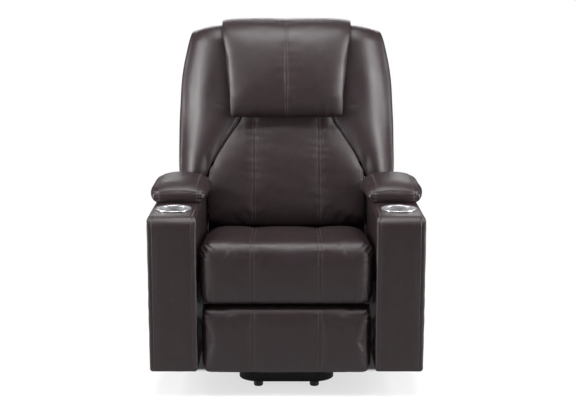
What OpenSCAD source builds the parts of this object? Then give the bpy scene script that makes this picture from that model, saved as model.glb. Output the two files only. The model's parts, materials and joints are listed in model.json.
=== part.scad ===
// Power lift recliner: floor base, lift links, seat body, reclining back and footrest.
// Millimetres, +Z up, the chair faces -Y, origin on the floor under the middle of the chair.

/* [Arms] */
// Half of the width across the outer faces of the arms
arm_outer_x = 410; // [390:1:450]
// Half of the width between the inner faces of the arms
arm_inner_x = 266; // [264:1:272]
// Front face of the arms
arm_front_y = -423; // [-448:1:-413]
// Rear face of the arms
arm_rear_y = 277; // [270:1:280]
// Underside of the arms above the floor
arm_bottom_z = 86; // [76:1:110]
// Top face of the arms
arm_top_z = 560; // [548:1:566]
// Rounding of the upper edges of an arm
arm_round = 22; // [8:1:40]
// Rounding of the lower edges of an arm
arm_foot_round = 8; // [3:1:20]
// Padding and cover on the arm's boards
cover_t = 14; // [8:0.5:18]
// Thickness of the arm's boards
board_t = 15; // [10:0.5:20]

/* [Arm pads] */
// Inner edge of an arm pad
pad_inner_x = 245; // [236:1:255]
// Outer edge of an arm pad
pad_outer_x = 427; // [415:1:440]
// Front of the pads behind the arm's front face
pad_setback = 209; // [190:1:230]
// Rear end of the arm pads
pad_rear_y = 4; // [-28:1:6]
// Height of the pad's crest above the arm
pad_h = 60; // [35:1:64]

/* [Cup holders] */
// Distance of the cup holder's axis from the middle plane
cup_x = 340; // [330:1:346]
// Cup holder's axis behind the arm's front face
cup_setback = 120; // [100:1:130]
// Clear diameter of the cup well
cup_bore = 87; // [70:0.5:90]
// Depth of the cup well below the arm's top
cup_depth = 72; // [40:1:90]
// Outer diameter of the cup holder's flange
cup_flange_d = 108; // [100:0.5:116]
// Wall of the cup holder
cup_wall = 1.5; // [1:0.1:2.5]
// Height of the flange's rolled rim
cup_rim = 3.2; // [2:0.1:5]

/* [Seat] */
// Gap between the seat cushion's front roll and an arm
seat_side_gap = 9; // [5:0.5:21]
// Half width of the seat cushion near the back
seat_rear_half = 246; // [236:1:248]
// Front of the seat cushion's roll
seat_front_y = -423; // [-433:1:-413]
// Rear end of the seat cushion
seat_rear_y = 68; // [52:1:70]
// Top of the front roll
seat_front_z = 487; // [470:1:500]
// Top of the cushion at its rear end
seat_rear_z = 436; // [420:1:438]
// Underside of the front roll
seat_lip_z = 289; // [287:1:300]
// Rounding of the cushion's side edges
seat_round = 34; // [15:1:50]
// Distance of the sewn seams from the middle plane
seat_seam_x = 99; // [70:1:130]
// Depth of the sewn seams on the seat and footrest
seam_depth = 7; // [3:0.5:12]
// Crown of the seat cushion's top
seat_crown = 9; // [0:0.5:14]

/* [Seat frame] */
// Top of the seat's wooden frame
frame_top_z = 349; // [347:0.5:351]
// Height of the wooden frame's members
frame_h = 28; // [20:1:28]
// Gap between the wooden frame and the footrest links beside it
frame_side_gap = 6; // [4:0.5:30]
// Rear end of the wooden frame
frame_rear_y = 52; // [32:1:56]
// Width of the frame's members
frame_member = 40; // [30:1:50]
// Wire of the seat springs
spring_wire = 3.8; // [3:0.1:5]
// Bend radius of the seat springs
spring_bend = 14; // [10:1:18]
// Spacing of the seat springs
spring_pitch = 82; // [70:1:90]

/* [Mechanism rails] */
// Thickness of the seat rails
rail_t = 4; // [3:0.5:5]
// Underside of the seat rails
rail_bottom_z = 285; // [275:1:290]
// Front end of the seat rails
rail_front_y = -364; // [-373:1:-362]
// Rear end of the seat rails
rail_rear_y = 289; // [288:1:297]
// Side of the square cross tubes
cross_w = 25; // [20:1:26]
// Thickness of the link plates
link_t = 4; // [3:0.5:4]
// Side gap between two link plates
link_gap = 1; // [0.6:0.1:1]
// Half width of the footrest links
link_r = 9; // [7:0.5:9.5]
// Radius of the footrest links' eyes
eye_r = 11; // [10:0.5:11.5]
// Diameter of the footrest link pins
link_pin_d = 8; // [6:0.5:9]
// Diametral clearance of the running pivots
pin_clear = 0.1; // [0.06:0.01:0.16]
// Diametral clearance of the open pivots of the footrest linkage
link_open = 2.4; // [2.2:0.1:3]

/* [Footrest linkage] */
// Rear pivot of the footrest linkage, behind the middle of the chair when positive
foot_a_y = -117.3; // [-119:0.1:-115]
// Height of the rear pivot
foot_a_z = 262; // [261:0.1:263]
// Front pivot of the footrest linkage
foot_b_y = -271.2; // [-273:0.1:-269]
// Height of the front pivot
foot_b_z = 330; // [329:0.1:331]
// Length of the rear links
rear_link_len = 172.2; // [170:0.1:174]
// Rear link's angle above the rearward level at rest
rear_link_rest = -65.2; // [-67:0.1:-64]
// Front link from its pivot to the crossing pin
front_link_len = 174.1; // [172:0.1:176]
// Front link beyond the crossing pin
front_link_tail = 79.7; // [78:0.1:81]
// Front link's angle at rest
front_link_rest = -66.3; // [-68:0.1:-65]
// Upper link from the crossing pin to the footrest pin
upper_link_len = 151.2; // [149:0.1:153]
// Spacing of the two footrest pins
foot_pin_span = 84.3; // [83:0.1:86]
// Angle of the line through the two footrest pins at rest
foot_pin_rest = -71.3; // [-73:0.1:-70]
// Radius of the drive pin on the rear link
drive_arm = 34; // [33:0.5:36]
// Angle of the drive pin on the rear link at rest
drive_rest = -104; // [-106:0.5:-102]

/* [Footrest] */
// Half width of the footrest cushion
foot_half = 252; // [245:1:256]
// Front of the footrest cushion
foot_front_y = -423; // [-433:1:-413]
// Bottom of the footrest cushion
foot_bottom_z = 80; // [74:1:95]
// Top of the footrest cushion
foot_top_z = 281; // [270:1:283]
// Thickness of the footrest cushion
foot_pad_t = 70; // [50:1:72]
// Thickness of the footrest board
foot_board_t = 18; // [12:1:18]
// Half width of the footrest board
foot_board_half = 240; // [225:1:240]

/* [Back] */
// Height of the back's hinge axis
hinge_z = 430; // [428:1:432]
// Back's hinge axis behind the middle of the chair
hinge_y = 177; // [175:1:179]
// Lean of the back at rest
back_tilt = 14; // [12:0.5:15]
// Front of the back's centre cushion ahead of the hinge axis
back_front = 177; // [165:1:180]
// Fullness of the centre cushion's crown
back_crown = 14; // [4:1:16]
// Fullness of the side wings
wing_crown = 24; // [10:1:25]
// Half width of the wings above the arms
wing_half = 368; // [350:1:375]
// Narrowing of the wings towards their top
wing_taper = 34; // [10:1:50]
// Rounding of the wings' top outer corners
wing_corner = 45; // [10:1:70]
// Underside of the wings along the back, at the hinge's depth
wing_bottom = 178; // [176:1:190]
// Height of the wings and centre cushion along the back
back_top = 650; // [640:1:656]
// Front plane of the back frame behind the hinge axis
back_frame_front = 15; // [13:1:18]
// Depth of the back frame
back_frame_d = 62; // [45:1:63]
// Thickness of the rear cover
rear_cover_t = 17; // [10:1:20]
// Distance of the back's sewn seams from the middle plane
back_seam_x = 105; // [85:1:120]

/* [Headrest] */
// Half width of the headrest at its top
head_top_half = 214; // [200:1:225]
// Half width of the headrest at its lower edge
head_low_half = 182; // [170:1:195]
// Lower edge of the headrest along the back
head_low = 326; // [310:1:345]
// Thickness over the top of the back
head_top_t = 20; // [14:1:30]
// Greatest thickness of the front flap
head_front_t = 66; // [45:1:75]

/* [Lift base] */
// Width of the base's rectangular tube
tube_w = 25; // [22:1:27]
// Height of the base's rectangular tube
tube_h = 40; // [34:1:42]
// Wall of the base's tube
tube_wall = 2; // [1.5:0.1:3]
// Underside of the base's tubes
base_z = 15; // [12:1:18]
// Front face of the base
base_front_y = -306; // [-318:1:-288]
// Half of the straight front tube, at the middle of the front feet
front_foot_x = 87; // [70:1:100]
// Bend radius of the front corners at the tube's centre line
bend_r = 48.5; // [40:0.5:60]
// Rear face of the base
base_rear_y = 252; // [250:1:262]
// Half length of the rear foot tube
rear_tube_half = 228; // [215:1:240]
// Diameter of the feet
foot_d = 29; // [22:1:32]

/* [Lift links] */
// Rear lift pivot on the base
lift_a_y = -93; // [-94:0.5:-92]
// Height of the rear lift pivot
lift_a_z = 110; // [109:0.5:111]
// Front lift pivot on the base
lift_b_y = -156.7; // [-158:0.1:-155]
// Height of the front lift pivot
lift_b_z = 88.3; // [87.5:0.1:89.5]
// Length of the rear lift links
lift_rear_len = 368.3; // [366:0.1:370]
// Angle of the rear lift links at rest
lift_rear_rest = 6.7; // [6:0.1:7.4]
// Length of the front lift links
lift_front_len = 241.8; // [240:0.1:244]
// Angle of the front lift links at rest
lift_front_rest = 4.8; // [4:0.1:5.6]
// Thickness of the lift links and uprights
lift_t = 5; // [4:0.5:5]
// Half width of the lift links
lift_r = 16; // [14:0.5:17]
// Diameter of the lift pins
lift_pin_d = 12; // [10:0.5:14]
// Diameter of the front lift shaft
lift_shaft_d = 16; // [14:0.5:18]
// Diametral clearance of the open pivot between the front lift links and the seat
lift_open = 3.4; // [3.2:0.1:4]
// Inner face of the rear lift links
lift_rear_x = 222; // [221:0.5:223]
// Side gap between lift plates
lift_gap = 2; // [1:0.5:2]

/* [Actuators] */
// Diameter of the actuator tubes
act_tube_d = 30; // [26:1:32]
// Diameter of the actuator rods
act_rod_d = 14; // [12:0.5:16]
// Diameter of the actuator clevis pins
act_pin_d = 10; // [8:0.5:10]
// Width of the actuator eyes
act_eye_w = 12; // [10:1:13]
// Outer diameter of the rod eye
act_eye_d = 36; // [34:1:38]
// Bore of the rod eye, with room for the open pivot
act_eye_bore = 24; // [23:0.5:25]
// Lift actuator's pivot on the base
lift_act_y = 227; // [225:1:229]
// Height of the lift actuator's pivot
lift_act_z = 84; // [82:1:86]
// Lift crank radius
lift_crank = 56; // [54:1:58]
// Lift crank angle at rest
lift_crank_rest = 55; // [53:1:57]
// Length of the lift actuator at rest
lift_act_len = 355.3; // [353:0.1:357]
// Angle of the lift actuator at rest
lift_act_rest = 170.8; // [170:0.1:172]
// Recline actuator's pivot on the seat body
back_act_y = -306; // [-308:1:-304]
// Height of the recline actuator's pivot
back_act_z = 285; // [284:1:287]
// Back crank radius
back_crank = 100; // [98:1:102]
// Back crank angle at rest
back_crank_rest = -70; // [-72:1:-68]
// Length of the recline actuator at rest
back_act_len = 519.6; // [518:0.1:521]
// Angle of the recline actuator at rest
back_act_rest = 5.2; // [4.8:0.1:5.8]

/* [Sockets] */
// Clear bore of the power inlet
inlet_bore = 12; // [8:0.5:14]
// Clear bore of the handset socket
handset_bore = 9; // [6:0.5:12]
// Height of the two sockets
socket_z = 150; // [120:1:200]

/* [Hidden] */
$fn = 48;

leather = [0.20, 0.16, 0.16];
black_steel = [0.08, 0.08, 0.09];
zinc_steel = [0.62, 0.63, 0.65];
polished_steel = [0.80, 0.80, 0.82];
wood = [0.72, 0.58, 0.40];
black_plastic = [0.12, 0.12, 0.13];
webbing = [0.30, 0.28, 0.26];

touch = 0.3;        // gap between soft pieces and what carries them
bury = 1;           // length by which joined shapes run into each other

// Points of the linkages in the side plane, as [y, z]
function polar(p, len, a) = p + len * [cos(a), sin(a)];
foot_a = [foot_a_y, foot_a_z];
foot_b = [foot_b_y, foot_b_z];
foot_p = polar(foot_a, rear_link_len, rear_link_rest);
foot_m = polar(foot_b, front_link_len, front_link_rest);
foot_n = polar(foot_b, front_link_len + front_link_tail, front_link_rest);
foot_r = foot_m + upper_link_len * (foot_m - foot_p) / norm(foot_m - foot_p);
foot_s = polar(foot_r, foot_pin_span, foot_pin_rest);
drive_q = polar(foot_a, drive_arm, drive_rest);
hinge = [hinge_y, hinge_z];
drive_k_arm = 149.6;
drive_k_rest = -130.3;
drive_k = polar(hinge, drive_k_arm, drive_k_rest);
lift_a = [lift_a_y, lift_a_z];
lift_b = [lift_b_y, lift_b_z];
lift_c = polar(lift_a, lift_rear_len, lift_rear_rest);
lift_d = polar(lift_b, lift_front_len, lift_front_rest);
lift_f = polar(lift_b, lift_crank, lift_crank_rest);
lift_e = [lift_act_y, lift_act_z];
back_f = polar(hinge, back_crank, back_crank_rest);
back_g = [back_act_y, back_act_z];

// Planes of the footrest links, from the rail inwards
rail_x = arm_inner_x - rail_t;
plane1 = rail_x - link_gap - link_t;
plane2 = plane1 - link_gap - link_t;
plane3 = plane2 - link_gap - link_t;
plane4 = plane3 - link_gap - link_t;
frame_half = plane4 - frame_side_gap;
seat_half = arm_inner_x - seat_side_gap;
// Planes of the lift plates
hang_x = lift_rear_x + lift_t + lift_gap;
lift_front_x = hang_x + lift_t + lift_gap;

front_cross_y = rail_front_y + 4;
frame_front_y = front_cross_y + cross_w;
mid_cross_y = lift_d[0] - cross_w / 2;
mid_cross_z = rail_bottom_z - 10;
rear_cross_y = lift_c[0] - 35;
rear_cross_z = 290;
board_front_y = foot_front_y + foot_pad_t;
board_rear_y = board_front_y + foot_board_t;
cup_y = arm_front_y + cup_setback;
pad_front_y = arm_front_y + pad_setback;
clevis_gap = act_eye_w / 2 + 1;
clevis_t = 6;
base_front_mid = base_front_y + tube_w / 2;
rail_half = front_foot_x + bend_r;
mid_tube_y = lift_b_y + 18;
apron_y = rail_rear_y;
apron_t = 6;
apron_top = 366;
apron_bottom = arm_bottom_z + 6;

// ---------- shared shapes ----------

// Left and right copies of a right-hand shape
module both() {
    children();
    mirror([1, 0, 0]) children();
}

// Extrudes a side-plane outline (u = Y, v = Z) from x0 by t along X
module side(x0, t) {
    translate([x0, 0, 0]) rotate([90, 0, 90]) linear_extrude(t) children();
}

// Round-ended bar between two points of the side plane; its straight edges lie a hair inside the rounds
bar_shy = 0.03;
module bar(p, q, r) {
    d = q - p;
    h = r - bar_shy;
    translate(p) circle(r);
    translate(q) circle(r);
    translate(p) rotate(atan2(d[1], d[0])) translate([0, -h]) square([norm(d), 2 * h]);
}

// Round hole of the side plane
module eye(p, d) {
    translate(p) circle(d = d);
}

// Pin along X from x0 to x1 at a point of the side plane
module pin(p, d, x0, x1) {
    translate([x0, p[0], p[1]]) rotate([0, 90, 0]) cylinder(d = d, h = x1 - x0);
}

// Square tube along X between the rails
module cross_tube(y, z) {
    translate([-rail_x - bury, y, z])
        difference() {
            cube([2 * (rail_x + bury), cross_w, cross_w]);
            translate([0, 2, 2]) cube([2 * (rail_x + bury), cross_w - 4, cross_w - 4]);
        }
}

// Places a shape drawn in the back's upright frame, with its origin on the hinge axis
module on_back() {
    translate([0, hinge_y, hinge_z]) rotate([-back_tilt, 0, 0]) children();
}

// Closed body through a stack of rings, each end closed by a fan about its middle or a given point
function ring_mid(r) = [for (k = [0:2]) [for (p = r) p[k]] * [for (p = r) 1] / len(r)];
module loft(rings, ends = []) {
    n = len(rings[0]);
    m = len(rings);
    mids = len(ends) > 0 ? ends : [ring_mid(rings[0]), ring_mid(rings[m - 1])];
    points = concat([for (r = rings) each r], mids);
    walls = [for (i = [0:m - 2], j = [0:n - 1])
        let (a = i * n + j, b = i * n + (j + 1) % n)
        each [[a, a + n, b], [b, a + n, b + n]]];
    low = [for (j = [0:n - 1]) [m * n, j, (j + 1) % n]];
    high = [for (j = [0:n - 1]) [m * n + 1, (m - 1) * n + (j + 1) % n, (m - 1) * n + j]];
    polyhedron(points = points, faces = concat(walls, low, high));
}

// Inset of a rounded edge at distance t from the end of a cushion
function edge_inset(t, r) = t >= r ? 0 : r - sqrt(r * r - (r - t) * (r - t));
// Depth of a sewn channel at distance d from its line
function channel(d, depth, w) = depth * exp(-d * d / (w * w));
function mix(a, b, f) = a + (b - a) * f;
function smooth(f) = let (c = min(max(f, 0), 1)) c * c * (3 - 2 * c);
function spow(v, e) = sign(v) * pow(abs(v), e);

// ---------- lift base ----------

// The base's tubes, drawn inside by w all round
module base_tubes(w) {
    bw = tube_w - 2 * w;
    bh = tube_h - 2 * w;
    z = base_z + w;
    reach = base_rear_y - tube_w / 2 - base_front_mid - bend_r;
    translate([-front_foot_x, base_front_mid - bw / 2, z]) cube([2 * front_foot_x, bw, bh]);
    both() {
        translate([front_foot_x, base_front_mid + bend_r, z]) rotate([0, 0, -90])
            rotate_extrude(angle = 90) translate([bend_r - bw / 2, 0]) square([bw, bh]);
        translate([rail_half - bw / 2, base_front_mid + bend_r, z]) cube([bw, reach, bh]);
    }
    translate([-rear_tube_half, base_rear_y - tube_w / 2 - bw / 2, z])
        cube([2 * rear_tube_half, bw, bh]);
    translate([-hang_x - bury, mid_tube_y, z]) cube([2 * (hang_x + bury), bw, bh]);
}

foot_places = [
    [front_foot_x, base_front_mid],
    [rear_tube_half - foot_d / 2 - 4, base_rear_y - tube_w / 2],
    [hang_x - foot_d / 2 - 8, mid_tube_y + tube_w / 2]
];
stem_d = 8;
stem_clear = 0.2;

module base_frame() {
    color(black_steel) difference() {
        union() {
            difference() {
                base_tubes(0);
                base_tubes(tube_wall);
            }
            both() side(hang_x, lift_t) {
                bar(lift_a, lift_b, lift_r);
                polygon([[lift_b[0] - lift_r, base_z], [lift_a[0] + lift_r, base_z],
                    [lift_a[0] + lift_r, lift_a[1]], [lift_b[0] - lift_r, lift_b[1]]]);
            }
            both() side(clevis_gap, clevis_t)
                bar([base_rear_y - tube_w / 2, base_z + tube_h - 6], lift_e, act_pin_d);
        }
        both() side(hang_x - bury, lift_t + 2 * bury) {
            eye(lift_a, lift_pin_d + pin_clear);
            eye(lift_b, lift_shaft_d + pin_clear);
        }
        pin(lift_e, act_pin_d + pin_clear, -clevis_gap - clevis_t - bury, clevis_gap + clevis_t + bury);
        for (p = foot_places) both()
            translate([p[0], p[1], base_z - bury]) cylinder(d = stem_d + stem_clear, h = 2 * bury + tube_wall);
    }
}

module base_feet() {
    color(black_plastic) for (p = foot_places) both() translate([p[0], p[1], 0]) {
        cylinder(d1 = foot_d - 3, d2 = foot_d, h = 3);
        translate([0, 0, 3]) cylinder(d = foot_d, h = base_z - 3);
        translate([0, 0, base_z]) cylinder(d = stem_d, h = tube_wall + 6);
    }
}

pin_head_t = 1.5;
// Headed pin through two plates, from x0 to x1, with a washer at each end
module headed_pin(p, d, x0, x1) {
    pin(p, d, x0, x1);
    pin(p, d + 8, x0 - pin_head_t, x0);
    pin(p, d + 6, x1, x1 + pin_head_t);
}

module base_pivot_pins() {
    color(zinc_steel) {
        both() headed_pin(lift_a, lift_pin_d, lift_rear_x - 0.2, hang_x + lift_t + 0.2);
        headed_pin(lift_e, act_pin_d, -clevis_gap - clevis_t - 0.2, clevis_gap + clevis_t + 0.2);
    }
}

module front_lift_links() {
    color(black_steel) {
        both() difference() {
            side(lift_front_x, lift_t) bar(lift_b, lift_d, lift_r);
            side(lift_front_x - bury, lift_t + 2 * bury) eye(lift_d, lift_pin_d + lift_open);
        }
        pin(lift_b, lift_shaft_d, -lift_front_x - lift_t, lift_front_x + lift_t);
        both() side(clevis_gap, clevis_t) bar(lift_b, lift_f, act_pin_d);
        pin(lift_f, act_pin_d, -clevis_gap - bury, clevis_gap + bury);
    }
}

module rear_lift_links() {
    color(black_steel) both() difference() {
        side(lift_rear_x, lift_t) bar(lift_a, lift_c, lift_r);
        side(lift_rear_x - bury, lift_t + 2 * bury) {
            eye(lift_a, lift_pin_d + pin_clear);
            eye(lift_c, lift_pin_d + pin_clear);
        }
    }
}

// ---------- actuators, drawn along +X from their pivot and then turned ----------

act_neck = 24;
motor_d = 56;
motor_len = 96;
motor_gap = 1;

// Places an actuator drawn along +X, with +Y upward, at its pivot p and angle a
module on_actuator(p, a) {
    translate([0, p[0], p[1]]) rotate([90, 0, 90]) rotate([0, 0, a]) children();
}

module act_body(tube_len) {
    difference() {
        union() {
            translate([0, 0, -act_eye_w / 2]) cylinder(r = act_pin_d, h = act_eye_w);
            translate([0, -act_pin_d, -act_eye_w / 2]) cube([act_neck, 2 * act_pin_d, act_eye_w]);
            translate([act_neck, 0, 0]) rotate([0, 90, 0]) cylinder(d = act_tube_d, h = tube_len);
        }
        translate([0, 0, -act_eye_w]) cylinder(d = act_pin_d + pin_clear, h = 2 * act_eye_w);
        translate([act_neck + 20, 0, 0]) rotate([0, 90, 0])
            cylinder(d = act_rod_d + pin_clear, h = tube_len);
    }
}

module act_rod(start, len) {
    difference() {
        union() {
            translate([start, 0, 0]) rotate([0, 90, 0])
                cylinder(d = act_rod_d, h = len - act_eye_d / 2 + 4 - start);
            translate([len, 0, -act_eye_w / 2]) cylinder(d = act_eye_d, h = act_eye_w);
        }
        translate([len, 0, -act_eye_w]) cylinder(d = act_eye_bore, h = 2 * act_eye_w);
    }
}

// Gearbox block with its motor can beside the tube, on the side given by up
module act_motor(up) {
    mirror([0, up < 0 ? 1 : 0, 0]) difference() {
        union() {
            translate([act_neck + 4, -act_tube_d / 2 - 8, -act_tube_d / 2 - 7])
                cube([46, act_tube_d + 20, act_tube_d + 14]);
            translate([act_neck + 4, act_tube_d / 2 + motor_gap + motor_d / 2, 0]) rotate([0, 90, 0])
                cylinder(d = motor_d, h = motor_len);
        }
        translate([act_neck, 0, 0]) rotate([0, 90, 0]) cylinder(d = act_tube_d, h = motor_len + 20);
    }
}

lift_tube_len = 190;
back_tube_len = 285;
rod_inside = 90;

module lift_motor() {
    color(black_plastic) on_actuator(lift_e, lift_act_rest) act_motor(-1);
}

module lift_tube() {
    color(zinc_steel) on_actuator(lift_e, lift_act_rest) act_body(lift_tube_len);
}

module lift_rod() {
    color(polished_steel) on_actuator(lift_e, lift_act_rest)
        act_rod(act_neck + lift_tube_len - rod_inside, lift_act_len);
}

module recline_motor() {
    color(black_plastic) on_actuator(back_g, back_act_rest) act_motor(-1);
}

module recline_tube() {
    color(zinc_steel) on_actuator(back_g, back_act_rest) act_body(back_tube_len);
}

module recline_rod() {
    color(polished_steel) on_actuator(back_g, back_act_rest)
        act_rod(act_neck + back_tube_len - rod_inside, back_act_len);
}

// ---------- seat body ----------

bolt_d = 8;
bolt_places = [[-318, 300], [-188, 330], [12, 330], [132, 330], [228, 300]];
hinge_pin_d = 12;

module seat_rails() {
    color(black_steel) difference() {
        union() {
            both() side(rail_x, rail_t) {
                translate([rail_front_y, rail_bottom_z])
                    square([rail_rear_y - rail_front_y, frame_top_z - rail_bottom_z]);
                bar(foot_a, [foot_a_y, rail_bottom_z + 20], eye_r + 4);
                bar([hinge_y, rail_bottom_z + 20], hinge, 20);
            }
            cross_tube(front_cross_y, frame_top_z - cross_w);
            cross_tube(mid_cross_y, mid_cross_z);
            cross_tube(rear_cross_y, rear_cross_z);
            both() side(hang_x, lift_t) {
                bar(lift_c, [lift_c[0] - 2, rear_cross_z + cross_w - lift_r], lift_r);
                bar(lift_d, [lift_d[0], mid_cross_z + cross_w - lift_r], lift_r);
            }
            both() side(clevis_gap, clevis_t)
                bar([front_cross_y + cross_w / 2, frame_top_z - cross_w / 2], back_g, act_pin_d);
            // brackets that hold the rear of the wooden frame
            both() translate([frame_half - 44, frame_rear_y, mid_cross_z + 15])
                cube([20, mid_cross_y - frame_rear_y + 2, frame_top_z - 4 - mid_cross_z - 15]);
        }
        both() side(rail_x - bury, rail_t + 2 * bury) {
            eye(foot_a, link_pin_d + pin_clear);
            eye(foot_b, link_pin_d + pin_clear);
            eye(hinge, hinge_pin_d + pin_clear);
            for (p = bolt_places) eye(p, bolt_d + 0.5);
        }
        both() side(hang_x - bury, lift_t + 2 * bury) {
            eye(lift_c, lift_pin_d + pin_clear);
            eye(lift_d, lift_pin_d + pin_clear);
        }
        pin(back_g, act_pin_d + pin_clear, -clevis_gap - clevis_t - bury, clevis_gap + clevis_t + bury);
    }
}

module lift_hanger_pins() {
    color(zinc_steel) {
        both() headed_pin(lift_c, lift_pin_d, lift_rear_x - 0.2, hang_x + lift_t + 0.2);
        both() headed_pin(lift_d, lift_pin_d, hang_x - 0.2, lift_front_x + lift_t + 0.2);
        headed_pin(back_g, act_pin_d, -clevis_gap - clevis_t - 0.2, clevis_gap + clevis_t + 0.2);
    }
}

bolt_reach = cover_t + board_t - 2;
module rail_bolts() {
    color(zinc_steel) both() for (p = bolt_places) {
        pin(p, bolt_d, rail_x - bury, arm_inner_x + bolt_reach);
        pin(p, bolt_d + 4, rail_x - 0.9, rail_x);
    }
}

ear_t = 16;
module seat_frame() {
    len_y = frame_rear_y - frame_front_y;
    z0 = frame_top_z - frame_h;
    color(wood) difference() {
        union() {
            difference() {
                translate([-frame_half, frame_front_y, z0]) cube([2 * frame_half, len_y, frame_h]);
                translate([-frame_half + frame_member, frame_front_y + frame_member, z0 - bury])
                    cube([2 * (frame_half - frame_member), len_y - 2 * frame_member, frame_h + 2 * bury]);
            }
            // ears that carry the frame on the rails behind the footrest links
            both() translate([frame_half - bury, foot_a_y - 20, frame_top_z - ear_t])
                cube([rail_x - frame_half + bury, 40, ear_t]);
        }
        // notch around the recline actuator's clevis
        translate([-clevis_gap - clevis_t - 2, frame_front_y - bury, z0 - bury])
            cube([2 * (clevis_gap + clevis_t + 2), 22, frame_h - 6]);
        // slot over the recline actuator's rod
        translate([-13, frame_rear_y - frame_member - bury, z0 - bury])
            cube([26, frame_member + 2 * bury, 13 + bury]);
    }
}

// One zigzag spring of half loops joined by straight wires, running along Y
module zigzag(count) {
    w = 14;
    for (i = [0:count - 1]) {
        s = i % 2 == 0 ? 1 : -1;
        y = (2 * i + 1) * spring_bend;
        translate([s * w, y, 0]) rotate([0, 0, s > 0 ? -90 : 90])
            rotate_extrude(angle = 180, $fn = 32) translate([spring_bend, 0]) circle(d = spring_wire, $fn = 16);
    }
    for (i = [0:count]) translate([-w, 2 * i * spring_bend, 0]) rotate([0, 90, 0])
        cylinder(d = spring_wire, h = 2 * w, $fn = 16);
}

module seat_springs() {
    span = frame_rear_y - frame_front_y - 16;
    count = floor(span / (2 * spring_bend));
    y0 = (frame_rear_y + frame_front_y) / 2 - count * spring_bend;
    color(zinc_steel) for (k = [-2:2])
        translate([k * spring_pitch, y0, frame_top_z + spring_wire / 2]) zigzag(count);
}

seat_base_z = frame_top_z + spring_wire + touch;
// Side outline of the seat cushion: [y, z, inward y, inward z, share of the seam]
seat_outline = [
    [seat_front_y + 20, seat_lip_z, 0.6, 0.4, 0.3],
    [seat_front_y + 32, seat_lip_z + 6, 0.5, 0.3, 0],
    [seat_front_y + 52, seat_lip_z + 26, 0.1, 0, 0],
    [front_cross_y - 5, frame_top_z + touch, 0, 0, 0],
    [frame_front_y + 4, seat_base_z, 0, 0, 0],
    [(seat_front_y + seat_rear_y) / 2, seat_base_z, 0, 0, 0],
    [seat_rear_y, seat_base_z, 0, 0, 0],
    [seat_rear_y, seat_rear_z - 24, -0.5, -0.3, 0],
    [seat_rear_y - 8, seat_rear_z - 6, -0.5, -0.8, 0.2],
    for (i = [0:6]) let (f = (i + 0.5) / 7) [
        mix(seat_rear_y - 22, seat_front_y + 46, f),
        mix(seat_rear_z, seat_front_z, f) + seat_crown * sin(180 * f) - 12 * pow(1 - f, 6), 0, -1, 1],
    [seat_front_y + 34, seat_front_z - 2, 0.3, -1, 1],
    [seat_front_y + 17, seat_front_z - 14, 0.8, -0.8, 1],
    [seat_front_y + 6, seat_front_z - 36, 1, -0.4, 1],
    [seat_front_y, seat_front_z - 70, 1, 0, 1],
    [seat_front_y, seat_front_z - 118, 1, 0, 1],
    [seat_front_y + 2, seat_lip_z + 36, 1, 0, 1],
    [seat_front_y + 7, seat_lip_z + 12, 1, 0.3, 0.8]
];
// Places across a cushion, denser at its sewn seams and its rounded sides
function across(half, seam, edge) = let (
    one = [0, seam * 0.62, seam - 9, seam, seam + 9, mix(seam, half, 0.45), half - edge,
        half - edge * 0.5, half - edge * 0.18, half - edge * 0.03, half])
    concat([for (i = [len(one) - 1:-1:1]) -one[i]], one);

function seat_ring(x) = let (
    t = edge_inset(seat_half - abs(x), seat_round),
    c = channel(abs(x) - seat_seam_x, seam_depth, 7))
    [for (p = seat_outline) let (
        f = smooth((p[0] - seat_front_y - 190) / 110),
        s = mix(1, seat_rear_half / seat_half, f))
        [x * s, p[0] + p[2] * (t + c * p[4]), p[1] + p[3] * (t + c * p[4])]];

module seat_cushion() {
    color(leather) loft([for (x = across(seat_half, seat_seam_x, seat_round)) seat_ring(x)],
        [for (s = [-1, 1]) [s * seat_half, seat_front_y + 50, seat_rear_z - 20]]);
}

// Front outline of an arm, drawn inside by w
module arm_outline(w) {
    x0 = arm_inner_x + w;
    x1 = arm_outer_x - w;
    z0 = arm_bottom_z + (w > 0 ? 6 : 0);
    z1 = arm_top_z - w;
    ru = max(arm_round - w, 2);
    rl = max(arm_foot_round - w, 1);
    translate([x0 + ru, z1 - ru]) circle(ru);
    translate([x1 - ru, z1 - ru]) circle(ru);
    translate([x0 + rl, z0 + rl]) circle(rl);
    translate([x1 - rl, z0 + rl]) circle(rl);
    translate([x0 + ru, z0 + rl]) square([x1 - x0 - 2 * ru, z1 - z0 - rl]);
    translate([x0, z0 + rl]) square([x1 - x0, z1 - z0 - ru - rl]);
    translate([x0 + rl, z0]) square([x1 - x0 - 2 * rl, rl + bury]);
}

module arm_slab(w, y0, y1) {
    translate([0, y1, 0]) rotate([90, 0, 0]) linear_extrude(y1 - y0) arm_outline(w);
}

cup_hole_d = cup_bore + 2 * cup_wall + 1;
module cup_hole() {
    translate([cup_x, cup_y, arm_top_z - cup_depth - 2 * cup_wall])
        cylinder(d = cup_hole_d, h = cup_depth + 3 * cup_wall, $fn = 64);
}

module bolt_holes() {
    for (p = bolt_places) pin(p, bolt_d + 0.2, arm_inner_x - bury, arm_inner_x + bolt_reach + 0.5);
}

module arm_cover() {
    color(leather) difference() {
        arm_slab(0, arm_front_y, arm_rear_y);
        arm_slab(cover_t, arm_front_y + cover_t, arm_rear_y - cover_t);
        cup_hole();
        bolt_holes();
    }
}

module arm_frame() {
    w = cover_t + board_t;
    color(wood) difference() {
        arm_slab(cover_t, arm_front_y + cover_t, arm_rear_y - cover_t);
        translate([arm_inner_x + w, arm_front_y + w, arm_bottom_z])
            cube([arm_outer_x - arm_inner_x - 2 * w, arm_rear_y - arm_front_y - 2 * w,
                arm_top_z - arm_bottom_z - w]);
        cup_hole();
        bolt_holes();
    }
}

module arm_cover_right() {
    arm_cover();
}

module arm_cover_left() {
    mirror([1, 0, 0]) arm_cover();
}

module arm_frame_right() {
    arm_frame();
}

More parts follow.
